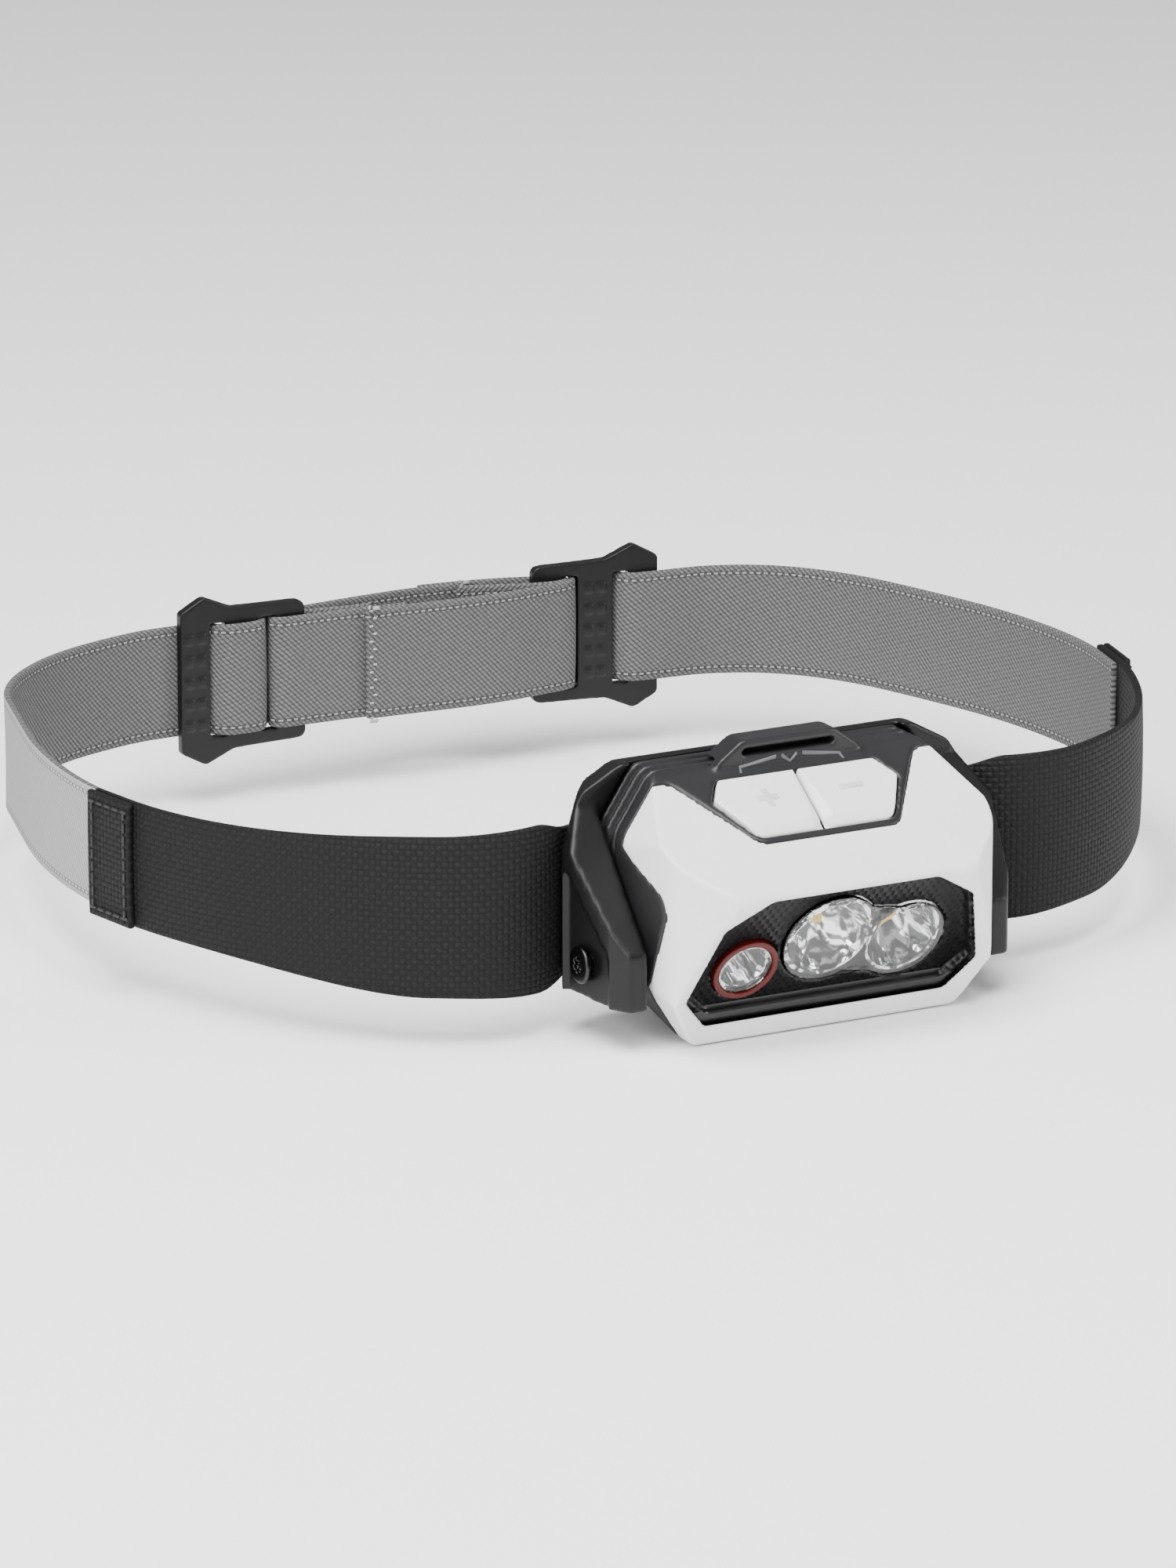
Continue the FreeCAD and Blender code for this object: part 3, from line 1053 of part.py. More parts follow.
def make_slider(label, side, x, y, turn):
    """A moulded plate with two slots and gripping studs on the side that faces the head."""
    body = doc.addObject("PartDesign::Body", label)
    plane = next(item for item in body.Origin.OriginFeatures if item.Role == "XZ_Plane")

    def sketch_on_plane(name, loops, lift=0.0):
        sketch = body.newObject("Sketcher::SketchObject", name)
        sketch.AttachmentSupport = (plane, [""])
        sketch.MapMode = "FlatFace"
        sketch.AttachmentOffset = Placement(Vector(0, 0, lift), Rotation())
        for loop in loops:
            sketch.addGeometry(edges_of(loop), False)
        return sketch

    plate = body.newObject("PartDesign::Pad", label + "_plate")
    plate.Profile = sketch_on_plane(label + "_outline", [slider_outline(side)])
    plate.Midplane = True
    plate.setExpression("Length", "Sizes.slider_plate")
    doc.recompute()
    slots = body.newObject("PartDesign::Pocket", label + "_slots")
    slots.Profile = sketch_on_plane(label + "_slot_drawing", slider_slots(side))
    slots.Midplane = True
    slots.setExpression("Length", "Sizes.slider_plate * 3")
    doc.recompute()
    studs = body.newObject("PartDesign::Pad", label + "_studs")
    studs.Profile = sketch_on_plane(label + "_stud_drawing", slider_studs(side), size("slider_plate") / 2)
    studs.setExpression("Length", "Sizes.stud_rise")
    body.Tip = studs
    body.Placement = Placement(Vector(x, y, 0), Rotation(Vector(0, 0, 1), turn))
    node(label, body)


# ---------------------------------------------------------------- assembly

def make_all():
    outer = lamp_volume("lamp_outer", 0.0)
    inner = lamp_volume("lamp_inner", size("bezel_wall"))
    make_bezel(outer, inner)
    make_front_housing(outer, inner)
    make_rear_case()
    make_hinge_pin()
    make_gasket()
    make_keys()
    make_switches()
    make_inner_cover()
    make_panel()
    make_lenses()
    for lamp in ("flood", "spot", "near"):
        x, v = size(lamp + "_x"), size(lamp + "_v")
        make_reflector(lamp, x, v)
        make_led(lamp + "_led", x, v)
    make_boards()
    make_cells()
    make_contacts()
    make_bracket()
    make_pivot_screws()
    make_webbing()
    make_elastics()
    make_slider("slider_left", 1, size("left_slider_x"), size("left_slider_y"), 0.0)
    make_slider("slider_right", -1, size("right_slider_x"), size("right_slider_y"), size("right_slider_turn"))


make_all()
doc.recompute()

faults = [f"{item.Name}: {item.State}" for item in doc.Objects if {"Invalid", "Error"} & set(item.State)]
for item in NODES:
    if item.Shape.isNull() or not item.Shape.isValid() or not item.Shape.Solids:
        faults.append(f"{item.Label}: shape")
if faults:
    raise SystemExit("\n".join(faults))

os.makedirs("parts", exist_ok=True)
for item in NODES:
    item.Shape.exportStep(f"parts/{item.Label}.step")
    box = item.Shape.BoundBox
    print(f"{item.Label:18s} {len(item.Shape.Solids)} solid(s) {item.Shape.Volume:9.1f} mm3  "
          f"x {box.XMin:.1f}..{box.XMax:.1f}  y {box.YMin:.1f}..{box.YMax:.1f}  z {box.ZMin:.1f}..{box.ZMax:.1f}")
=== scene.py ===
import json
import math

import bpy
from mathutils import Matrix, Vector


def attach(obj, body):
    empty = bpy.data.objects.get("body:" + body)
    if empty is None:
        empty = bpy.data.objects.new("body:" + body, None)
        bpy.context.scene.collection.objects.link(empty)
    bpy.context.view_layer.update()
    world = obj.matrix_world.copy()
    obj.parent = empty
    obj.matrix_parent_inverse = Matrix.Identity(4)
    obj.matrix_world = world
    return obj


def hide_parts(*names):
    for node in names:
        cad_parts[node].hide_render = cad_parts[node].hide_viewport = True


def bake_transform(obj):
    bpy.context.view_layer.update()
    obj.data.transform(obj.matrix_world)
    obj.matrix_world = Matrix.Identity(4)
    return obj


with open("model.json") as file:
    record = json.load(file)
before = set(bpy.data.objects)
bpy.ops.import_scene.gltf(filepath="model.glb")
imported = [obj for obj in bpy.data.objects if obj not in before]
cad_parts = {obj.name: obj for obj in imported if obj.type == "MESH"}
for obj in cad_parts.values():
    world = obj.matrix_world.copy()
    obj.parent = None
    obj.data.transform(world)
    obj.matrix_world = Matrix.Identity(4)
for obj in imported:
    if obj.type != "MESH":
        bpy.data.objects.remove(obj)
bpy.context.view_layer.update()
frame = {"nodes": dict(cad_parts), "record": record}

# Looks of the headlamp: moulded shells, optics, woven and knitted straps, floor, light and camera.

MM = 0.001
BODY = {node: body for body, nodes in frame["record"]["behaviour"]["bodies"].items() for node in nodes}
SLOT = {part["node"]: part["material_slot"] for part in frame["record"]["subparts"]}

# Places on the lamp in mm, as the CAD has them. The window's plane leans back from level by its angle.
WINDOW_MIDDLE = Vector((0, -96.7, -7.4))
WINDOW_ANGLE = math.radians(114.3)
LOBES = ((-1.0, 0.4, 7.9), (13.0, -2.2, 6.9))  # across, up the window, radius
NEAR_LENS = (-15.8, -3.3, 4.7)

# The keys lie on a slope from the case's crown down to its front lip.
SLOPE_CROWN = (-77.6, 20.4)
SLOPE_LIP = (-103.4, 4.7)
KEY_MIDDLE_Y = -86.4


# ---------------------------------------------------------------- materials

def linear(hex_colour):
    """An sRGB hex colour as linear RGBA."""
    parts = [int(hex_colour[i:i + 2], 16) / 255 for i in (0, 2, 4)]
    return [c / 12.92 if c <= 0.04045 else ((c + 0.055) / 1.055) ** 2.4 for c in parts] + [1.0]


def put(tree, kind, settings=None, **links):
    """Adds a node with its settings; each link is a number or another socket, by input name or by _index."""
    node = tree.nodes.new("ShaderNode" + kind)
    for key, value in (settings or {}).items():
        setattr(node, key, value)
    for name, value in links.items():
        socket = node.inputs[int(name[1:]) if name[0] == "_" else name.replace("_", " ")]
        if isinstance(value, bpy.types.NodeSocket):
            tree.links.new(value, socket)
        else:
            socket.default_value = value
    return node


def calc(tree, operation, first, second=0.0, third=0.0):
    """The result socket of one sum."""
    return put(tree, "Math", {"operation": operation}, _0=first, _1=second, _2=third).outputs[0]


def blank(name, colour, roughness, **sockets):
    """A material with one shader; uniform values go straight on its sockets."""
    material = bpy.data.materials.new(name)
    material.use_nodes = True
    tree = material.node_tree
    shader = tree.nodes["Principled BSDF"]
    shader.inputs["Base Color"].default_value = linear(colour)
    shader.inputs["Roughness"].default_value = roughness
    for key, value in sockets.items():
        shader.inputs[key.replace("_", " ")].default_value = value
    return material, tree, shader


def tint(tree, shader, share, low, high):
    """Colours the shader between two hex colours by a 0 to 1 socket."""
    mix = put(tree, "Mix", {"data_type": "RGBA"}, Factor=share)
    mix.inputs["A"].default_value = linear(low)
    mix.inputs["B"].default_value = linear(high)
    tree.links.new(mix.outputs["Result"], shader.inputs["Base Color"])


def emboss(tree, shader, height, depth_mm, strength=1.0):
    """Bump of a real depth."""
    bump = put(tree, "Bump", Height=height, Distance=depth_mm * MM, Strength=strength)
    tree.links.new(bump.outputs["Normal"], shader.inputs["Normal"])


def moulded(name, colour, worn, roughness, grain_mm, depth_mm, **sockets):
    """Injection-moulded plastic: spark-eroded grain, and a faint cloudy change of colour and gloss from handling."""
    cloud_mm = 14
    material, tree, shader = blank(name, colour, roughness, **sockets)
    place = put(tree, "TexCoord").outputs["Object"]
    grain = put(tree, "TexNoise", Vector=place, Scale=1 / (grain_mm * MM), Detail=2.0).outputs["Fac"]
    cloud = put(tree, "TexNoise", Vector=place, Scale=1 / (cloud_mm * MM), Detail=3.0).outputs["Fac"]
    tint(tree, shader, cloud, colour, worn)
    gloss = put(tree, "MapRange", Value=cloud, _3=roughness - 0.05, _4=roughness + 0.05).outputs["Result"]
    tree.links.new(gloss, shader.inputs["Roughness"])
    emboss(tree, shader, grain, depth_mm)
    return material


def panel_pattern(tree):
    """Across and up-slope coordinates, in mm, on the lens panel's face."""
    place = put(tree, "TexCoord").outputs["Object"]
    turned = put(tree, "VectorRotate", {"rotation_type": "AXIS_ANGLE"}, Vector=place, Axis=(1, 0, 0),
                 Angle=-WINDOW_ANGLE)
    parts = put(tree, "SeparateXYZ", Vector=turned.outputs[0])
    middle = Matrix.Rotation(-WINDOW_ANGLE, 3, "X") @ WINDOW_MIDDLE
    across = calc(tree, "MULTIPLY", parts.outputs["X"], 1 / MM)
    up = calc(tree, "MULTIPLY_ADD", parts.outputs["Y"], 1 / MM, -middle.y)
    return across, up


def scaled_panel():
    """Glossy black ABS with rows of shallow scales, in mm, that stop above the smooth ledge. Each scale is painted
    lighter as it rises: painted shade in its low part, painted highlight on its crest.
    """
    scale_width, scale_height, ledge_top = 1.5, 0.95, -10.0
    material, tree, shader = blank("moulded_black_abs_scales", "060607", 0.28, Specular_IOR_Level=0.5)
    across, up = panel_pattern(tree)
    row = calc(tree, "DIVIDE", up, scale_height)
    odd = calc(tree, "MULTIPLY", calc(tree, "MODULO", calc(tree, "FLOOR", row), 2.0), 0.5)
    column = calc(tree, "FRACT", calc(tree, "ADD", calc(tree, "DIVIDE", across, scale_width), odd))
    arch = calc(tree, "SINE", calc(tree, "MULTIPLY", column, math.pi))
    rise = calc(tree, "FRACT", calc(tree, "SUBTRACT", row, calc(tree, "MULTIPLY", arch, 0.45)))
    field = calc(tree, "GREATER_THAN", up, ledge_top)
    height = calc(tree, "MULTIPLY", rise, field)
    # Painted shade and highlight: each scale's colour follows its height.
    tint(tree, shader, height, "020202", "171719")
    emboss(tree, shader, height, 0.6)
    return material


def cloth_place(tree):
    """Along and across coordinates, in mm, of a strap."""
    parts = put(tree, "SeparateXYZ", Vector=put(tree, "UVMap", {"uv_map": "Cloth"}).outputs[0])
    return parts.outputs["X"], parts.outputs["Y"]


def cloth_fuzz(tree, scale, detail, roughness=0.5):
    """Uneven fibre over a strap."""
    place = put(tree, "UVMap", {"uv_map": "Cloth"}).outputs[0]
    return put(tree, "TexNoise", Vector=place, Scale=scale, Detail=detail, Roughness=roughness).outputs["Fac"]


def wave(tree, value, period):
    """0 to 1 hump repeated every period."""
    return calc(tree, "ABSOLUTE", calc(tree, "SINE", calc(tree, "MULTIPLY", value, math.pi / period)))


def woven_webbing():
    """Textured polypropylene webbing: a basket weave of fat yarns, black, with a painted sheen on each crown and
    painted shade between the yarns.
    """
    yarn = 0.95  # mm
    material, tree, shader = blank("woven_black_webbing", "060607", 0.7, Specular_IOR_Level=0.25)
    along, across = cloth_place(tree)
    warp = calc(tree, "FLOOR", calc(tree, "DIVIDE", along, yarn))
    weft = calc(tree, "FLOOR", calc(tree, "DIVIDE", across, yarn))
    parity = calc(tree, "ABSOLUTE", calc(tree, "MODULO", calc(tree, "ADD", warp, weft), 2.0))
    warp_hump, weft_hump = wave(tree, along, yarn), wave(tree, across, yarn)
    over = calc(tree, "MULTIPLY", weft_hump, calc(tree, "MULTIPLY_ADD", warp_hump, 0.5, 0.5))
    under = calc(tree, "MULTIPLY", warp_hump, calc(tree, "MULTIPLY_ADD", weft_hump, 0.35, 0.15))
    height = put(tree, "Mix", {"data_type": "FLOAT"}, _0=parity, _2=over, _3=under).outputs["Result"]
    fuzz = cloth_fuzz(tree, 3.2, 3.0)
    relief_and_painted_sheen = calc(tree, "MULTIPLY", height, calc(tree, "MULTIPLY_ADD", fuzz, 1.1, 0.4))
    # Painted sheen and shade: the colour follows the weave's height, lighter on the yarn crowns and darker in the
    # hollows.
    tint(tree, shader, relief_and_painted_sheen, "010101", "141415")
    emboss(tree, shader, relief_and_painted_sheen, 0.3)
    return material


def knitted_elastic(name, valley_shade, crown, stitching, slant, rib_shade_power):
    """Knitted elastic: slanting ribs about 1 mm apart, corded edges, and a row of pale lock stitches inside them. The
    rib valleys and the trench beside the stitch row are painted darker as painted shade.
    """
    rib_pitch, rung_pitch, cord_from, row_at, stitch_pitch = 0.95, 0.8, 9.15, 8.65, 1.3  # mm
    material, tree, shader = blank(name, crown, 0.88, Specular_IOR_Level=0.2)
    along, across = cloth_place(tree)
    diagonal = calc(tree, "MULTIPLY_ADD", across, slant, along)
    rib = wave(tree, diagonal, rib_pitch)
    rung = wave(tree, calc(tree, "MULTIPLY_ADD", along, -0.35, across), rung_pitch)
    fuzz = cloth_fuzz(tree, 1.3, 4.0, 0.7)
    height = calc(tree, "MULTIPLY", rib, calc(tree, "MULTIPLY_ADD", rung, 0.45, 0.55))
    height = calc(tree, "MULTIPLY_ADD", fuzz, 0.5, calc(tree, "MULTIPLY", height, 0.75))
    share = calc(tree, "MINIMUM", calc(tree, "POWER", height, rib_shade_power), 1.0)
    edge = calc(tree, "ABSOLUTE", across)
    cord = calc(tree, "GREATER_THAN", edge, cord_from)
    in_row = calc(tree, "COMPARE", edge, row_at, 0.17)
    dash = calc(tree, "LESS_THAN", calc(tree, "FRACT", calc(tree, "DIVIDE", along, stitch_pitch)), 0.55)
    stitch = calc(tree, "MULTIPLY", in_row, dash)
    trench = calc(tree, "COMPARE", edge, row_at, 0.35)
    # Painted shade: the rib valleys are coloured far darker than the crowns, by the ribs' height.
    body = put(tree, "Mix", {"data_type": "RGBA"}, Factor=share)
    body.inputs["A"].default_value = linear(valley_shade)
    body.inputs["B"].default_value = linear(crown)
    # Painted shade: the trench beside the stitch row is darkened towards 1A1A1B.
    shaded = put(tree, "Mix", {"data_type": "RGBA"}, Factor=calc(tree, "MULTIPLY", trench, 0.5))
    tree.links.new(body.outputs["Result"], shaded.inputs["A"])
    shaded.inputs["B"].default_value = linear("1A1A1B")
    thread = put(tree, "Mix", {"data_type": "RGBA"}, Factor=stitch)
    tree.links.new(shaded.outputs["Result"], thread.inputs["A"])
    thread.inputs["B"].default_value = linear(stitching)
    tree.links.new(thread.outputs["Result"], shader.inputs["Base Color"])
    relief = calc(tree, "MULTIPLY_ADD", cord, 0.6, calc(tree, "MULTIPLY", height, 0.55))
    relief = calc(tree, "MULTIPLY_ADD", stitch, 0.6, calc(tree, "MULTIPLY_ADD", trench, -0.5, relief))
    emboss(tree, shader, relief, 0.3)
    return material


def clear_lens():
    """Clear polycarbonate, polished, a little thick so that its edge shows."""
    return blank("polished_clear_polycarbonate", "FFFFFF", 0.02, Transmission_Weight=1.0, IOR=1.49)[0]


def metallised_bowl():
    """Vacuum-metallised ABS, bright, with a moulded ripple that breaks up what it mirrors, and painted reflection:
    patches of its colour run from dark grey to bright.
    """
    facet_mm, reflection_patch_mm = 2.6, 2.4
    material, tree, shader = blank("metallised_reflector", "E9EAEC", 0.07, Metallic=1.0)
    place = put(tree, "TexCoord").outputs["Object"]
    facet = put(tree, "TexVoronoi", Vector=place, Scale=1 / (facet_mm * MM))
    reflection_patch = put(tree, "TexNoise", Vector=place, Scale=1 / (reflection_patch_mm * MM), Detail=1.0, Distortion=1.5).outputs["Fac"]
    painted_reflection = put(tree, "MapRange", Value=reflection_patch, _1=0.42, _2=0.58)
    # Painted reflection: noise patches colour the mirror dark and bright.
    tint(tree, shader, painted_reflection.outputs["Result"], "3C3D40", "F4F5F7")
    emboss(tree, shader, facet.outputs["Distance"], 0.35)
    return material


def plated(name, colour, roughness):
    """Metal with a fine brushed or tumbled grain."""
    material, tree, shader = blank(name, colour, roughness, Metallic=1.0)
    place = put(tree, "TexCoord").outputs["Object"]
    grain = put(tree, "TexNoise", Vector=place, Scale=1 / (0.3 * MM), Detail=2.0).outputs["Fac"]
    emboss(tree, shader, grain, 0.01)
    return material


def glowing_chip(name, colour):
    """Phosphor under a clear drop: glossy, with a faint painted glow from emission that stands in for its
    translucency.
    """
    # Painted glow: a faint emission stands in for light passing through the phosphor.
    material, tree, shader = blank(name, colour, 0.18, Coat_Weight=0.8, Emission_Color=linear(colour),
                                   Emission_Strength=0.35)
    place = put(tree, "TexCoord").outputs["Object"]
    speck = put(tree, "TexNoise", Vector=place, Scale=1 / (0.25 * MM)).outputs["Fac"]
    emboss(tree, shader, speck, 0.02)
    return material


FINISH = {
    "white_shell": moulded("satin_white_polycarbonate", "E2E2E1", "E9E9E8", 0.34, 0.5, 0.004),
    "dark_shell": moulded("satin_charcoal_abs", "18181A", "212122", 0.38, 0.35, 0.010, Specular_IOR_Level=0.35),
    "black_plastic": moulded("spark_eroded_black_nylon", "060607", "0C0C0D", 0.42, 0.45, 0.014,
                             Specular_IOR_Level=0.3),
    "panel_black": scaled_panel(),
    "clear_lens": clear_lens(),
    "ring_red": moulded("glossy_dark_red_abs", "450907", "520D0A", 0.3, 0.6, 0.002, Specular_IOR_Level=0.3),
    "mirror_bowl": metallised_bowl(),
    "led_yellow": glowing_chip("yellow_phosphor_chip", "F0C020"),
    "led_red": glowing_chip("red_chip", "B01818"),
    "board_green": moulded("lacquered_circuit_board", "16351F", "1D4428", 0.3, 0.8, 0.004),
    "steel": plated("zinc_plated_steel", "A8A8A6", 0.32),
    "screw_black": plated("blackened_steel", "38383A", 0.3),
    "cell_jacket": moulded("shrink_sleeved_cell", "23364C", "2B4058", 0.28, 1.2, 0.003),
    "seal_rubber": moulded("moulded_black_silicone", "101011", "161617", 0.6, 0.3, 0.006),
    "webbing_black": woven_webbing(),
    # Painted shade: the first colour given to each elastic face darkens its rib valleys.
    "elastic_grey": knitted_elastic("knitted_elastic_inner_face", "171718", "6E6E6E", "8E8E8E", 0.95, 1.2),
}
# Painted shade: the first colour darkens this face's rib valleys.
ELASTIC_OUTSIDE = knitted_elastic("knitted_elastic_outer_face", "6A6A6B", "A8A8A8", "BEBEBE", -0.6, 0.8)
THREAD = moulded("spun_polyester_thread", "8E8E8D", "A6A6A5", 0.8, 0.25, 0.05)
# Painted shade: the plus and minus are the keys' own white plastic, coloured darker.
SHADED_WHITE_MARK = moulded("satin_white_polycarbonate_painted_shade_mark", "C4C4C3", "CFCFCE", 0.36, 0.5, 0.004)
# Painted highlight: the latch lines are moulded in the charcoal housing but coloured lighter grey.
HIGHLIGHT_GREY_MARK = moulded("satin_charcoal_abs_painted_highlight_mark", "4C4C4E", "58585A", 0.38, 0.35, 0.006)
BLACK_THREAD = moulded("black_bonded_thread", "161617", "242425", 0.6, 0.25, 0.04)


# ---------------------------------------------------------------- making pieces

def only(obj):
    """Leaves one object selected and active."""
    bpy.ops.object.select_all(action="DESELECT")
    obj.select_set(True)
    bpy.context.view_layer.objects.active = obj


def modify(obj, kind, **settings):
    """Adds a modifier and applies it."""
    only(obj)
    modifier = obj.modifiers.new(kind.lower(), kind)
    for key, value in settings.items():
        setattr(modifier, key, value)
    bpy.ops.object.modifier_apply(modifier=modifier.name)


def dress(obj, *materials):
    """Puts materials in an object's slots and keeps which face uses which slot."""
    slots = obj.data.materials
    while len(slots) > len(materials):
        slots.pop()
    for index, material in enumerate(materials):
        if index < len(slots):
            slots[index] = material
        else:
            slots.append(material)


def place_piece(obj, body, slot_name, *materials):
    """Gives a finished piece its materials and body; slot_name is not used."""
    dress(obj, *materials)
    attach(obj, body)
    return obj


def softened(node_name, voxel_mm, passes, shape=None):
    """A moulding in place of a CAD node: the same form with the rounded edges that a mould leaves."""
    mesh = frame["nodes"][node_name].data.copy()
    piece = bpy.data.objects.new(node_name + "_moulding", mesh)
    bpy.context.scene.collection.objects.link(piece)
    only(piece)
    bpy.ops.object.mode_set(mode="EDIT")
    bpy.ops.mesh.select_all(action="SELECT")
    bpy.ops.mesh.remove_doubles(threshold=0.002 * MM)
    bpy.ops.object.mode_set(mode="OBJECT")
    modify(piece, "REMESH", mode="VOXEL", voxel_size=voxel_mm * MM)
    modify(piece, "SMOOTH", factor=0.5, iterations=passes)
    if shape:
        for vertex in piece.data.vertices:
            vertex.co = Vector(shape(vertex.co / MM)) * MM
    only(piece)
    bpy.ops.object.shade_smooth()
    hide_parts(node_name)
    return place_piece(piece, BODY[node_name], SLOT[node_name], FINISH[SLOT[node_name]])


CORNER_STEPS = 24


def smooth_line(points, step):
    """Even steps along a smooth line that touches the middle of each run of a route, with its directions."""
    dense = [Vector(points[0])]
    for i in range(1, len(points) - 1):
        before, here, after = (Vector(p) for p in points[i - 1:i + 2])
        start, end = (before + here) / 2, (here + after) / 2
        for k in range(CORNER_STEPS + 1):
            t = k / CORNER_STEPS
            dense.append(start * (1 - t) ** 2 + here * 2 * t * (1 - t) + end * t ** 2)
    dense.append(Vector(points[-1]))
    lengths = [0.0]
    for first, second in zip(dense, dense[1:]):
        lengths.append(lengths[-1] + (second - first).length)
    count = max(2, round(lengths[-1] / step))
    line = []
    k = 0
    for i in range(count + 1):
        target = lengths[-1] * i / count
        while k < len(lengths) - 2 and lengths[k + 1] < target:
            k += 1
        span = max(lengths[k + 1] - lengths[k], 1e-9)
        line.append(dense[k].lerp(dense[k + 1], (target - lengths[k]) / span))
    ways = [(line[min(i + 1, count)] - line[max(i - 1, 0)]).normalized() for i in range(count + 1)]
    return line, ways, lengths[-1]


def strap(name, points, edges, thickness, offset=0.0, step=1.2, rows=10, curl=0.15):
    """A strap on edge along a route in mm.

    edges gives its bottom and top at a point, offset moves it to its left, and curl moves its edges the same way.
    """
    line, ways, length = smooth_line(points, step)
    count = len(line) - 1
    bpy.ops.object.select_all(action="DESELECT")
    bpy.ops.mesh.primitive_grid_add(x_subdivisions=count, y_subdivisions=rows, size=1, calc_uvs=True)
    piece = bpy.context.object
    piece.name = name
    cloth = piece.data.uv_layers[0]
    cloth.name = "Cloth"
    places = []
    for vertex in piece.data.vertices:
        i = round((vertex.co.x + 0.5) * count)
        t = vertex.co.y + 0.5
        places.append((i, t))
    for vertex, (i, t) in zip(piece.data.vertices, places):
        here, way = line[i], ways[i]
        low, high = edges(here)
        side = Vector((-way.y, way.x))
        bow = curl * (2 * t - 1) ** 2
        spot = here + side * (offset + bow)
        vertex.co = Vector((spot.x, spot.y, low + (high - low) * t)) * MM
    for loop in piece.data.loops:
        i, t = places[loop.vertex_index]
        low, high = edges(line[i])
        cloth.data[loop.index].uv = (length * i / count, low + (high - low) * t)
    dress(piece, FINISH["elastic_grey"], FINISH["elastic_grey"])  # a slot for each face of the strap
    modify(piece, "SOLIDIFY", thickness=thickness * MM, offset=0.0, material_offset=1, material_offset_rim=0)
    modify(piece, "BEVEL", width=thickness * 0.3 * MM, segments=2, limit_method="ANGLE", angle_limit=math.radians(60))
    bpy.ops.object.shade_smooth()
    return piece


# ---------------------------------------------------------------- straps

# Thicknesses in mm. The webbing is a little thinner than its room, so that its folds lie clear of it.
ELASTIC = 1.2
WEBBING = 1.3
FOLD = 1.1
WEBBING_OUT, FOLD_OUT = 0.75, 1.95  # how far their middles lie outside the route

# The straps' routes in mm, seen from above, from behind the bracket round one temple.
RIGHT_REACH, LEFT_REACH = 98.4, 93.2
BEND_X, WIDEST_X = 43.2, 95.8
ROUTE = [(57.5, -73.4), (71.5, -63.6), (83.0, -48.5), (91.5, -30.5), (95.8, -9.0), (94.0, 13.0), (88.0, 34.0)]


def side_route(reach):
    """The strap's route round one temple, from behind the bracket."""
    stretch = (reach - BEND_X) / (WIDEST_X - BEND_X)
    return [(32.4, -66.55), (BEND_X, -75.55)] + [(BEND_X + (x - BEND_X) * stretch, y) for x, y in ROUTE]


def flip(points):
    """The same route on the other side."""
    return [(-x, y) for x, y in points]


def along_run(first, last, distance):
    """A point at a distance past the middle of a run."""
    a, b = Vector(first), Vector(last)
    return tuple((a + b) / 2 + (b - a).normalized() * distance)


def webbing_edges(here):
    """The webbing is pinched behind the bracket and widest just outside it."""
    x = abs(here.x)
    for (x0, low0, high0), (x1, low1, high1) in zip(WEBBING_KNOTS, WEBBING_KNOTS[1:]):
        if x <= x1:
            t = (x - x0) / (x1 - x0)
            t = t * t * (3 - 2 * t)
            return low0 + (low1 - low0) * t, high0 + (high1 - high0) * t
    return WEBBING_KNOTS[-1][1:]


def band_edges(here):
    """The elastic is as wide all along."""
    return -10.0, 10.0


WEBBING_KNOTS = [(0, -13.4, 11.0), (36, -13.4, 11.0), (43.5, -14.9, 13.1), (60, -14.2, 12.6), (90, -10.6, 10.6),
                 (120, -10.4, 10.4)]  # distance from the middle, bottom, top
RIGHT = side_route(RIGHT_REACH)
LEFT = flip(side_route(LEFT_REACH))
LEFT_SEAM, RIGHT_SEAM = (LEFT[5], LEFT[6]), (RIGHT[5], RIGHT[6])
SEAM_HALF = 5.5


def make_webbing():
    """One strap from seam to seam behind the lamp, with each end folded over the elastic and sewn."""
    left_end, right_end = along_run(*LEFT_SEAM, SEAM_HALF), along_run(*RIGHT_SEAM, SEAM_HALF)
    route = [left_end] + LEFT[5::-1] + RIGHT[:6] + [right_end]
    piece = strap("woven_webbing", route, webbing_edges, WEBBING, offset=-WEBBING_OUT, step=1.1, rows=12, curl=0.25)
    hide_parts("front_webbing")
    place_piece(piece, "root", "webbing_black", FINISH["webbing_black"], FINISH["webbing_black"])
    for label, side, seam in (("left", -1, LEFT_SEAM), ("right", 1, RIGHT_SEAM)):
        points = [along_run(*seam, distance) for distance in (-5.6, 0, 5.9)]
        fold = strap(f"webbing_fold_{label}", points, webbing_edges, FOLD, offset=-FOLD_OUT * side, step=1.0,
                     rows=12, curl=0.12 * side)
        place_piece(fold, "root", "webbing_black", FINISH["webbing_black"], FINISH["webbing_black"])
        box_stitch(f"box_stitch_{label}", seam)


def box_stitch(name, seam):
    """A sewn rectangle of short black stitches on the folded end."""
    half_long, half_high, upright_reach, stand = 4.4, 9.0, 8.4, 2.6
    upright_count, level_count = 9, 5
    upright, level = stitch_form((0.45, 0.35, 1.6)), stitch_form((1.5, 0.35, 0.45))
    spots = []
    for k in range(upright_count):
        z = -upright_reach + 2 * upright_reach * k / (upright_count - 1)
        spots += [(-half_long, z, upright), (half_long, z, upright)]
    for k in range(level_count):
        s = -half_long + 2 * half_long * k / (level_count - 1)
        spots += [(s, -half_high, level), (s, half_high, level)]
    first, last = Vector(seam[0]), Vector(seam[1])
    way = (last - first).normalized()
    out = Vector((way.y, -way.x))
    if out.dot((first + last) / 2) < 0:
        out = -out
    stitches = []
    for s, z, form in spots:
        centre = (first + last) / 2 + way * s + out * stand
        stitches.append(stitch_at(form, Vector((centre.x, centre.y, z)), way))
    place_piece(sew(name, stitches, (upright, level)), "root", "webbing_black", BLACK_THREAD)


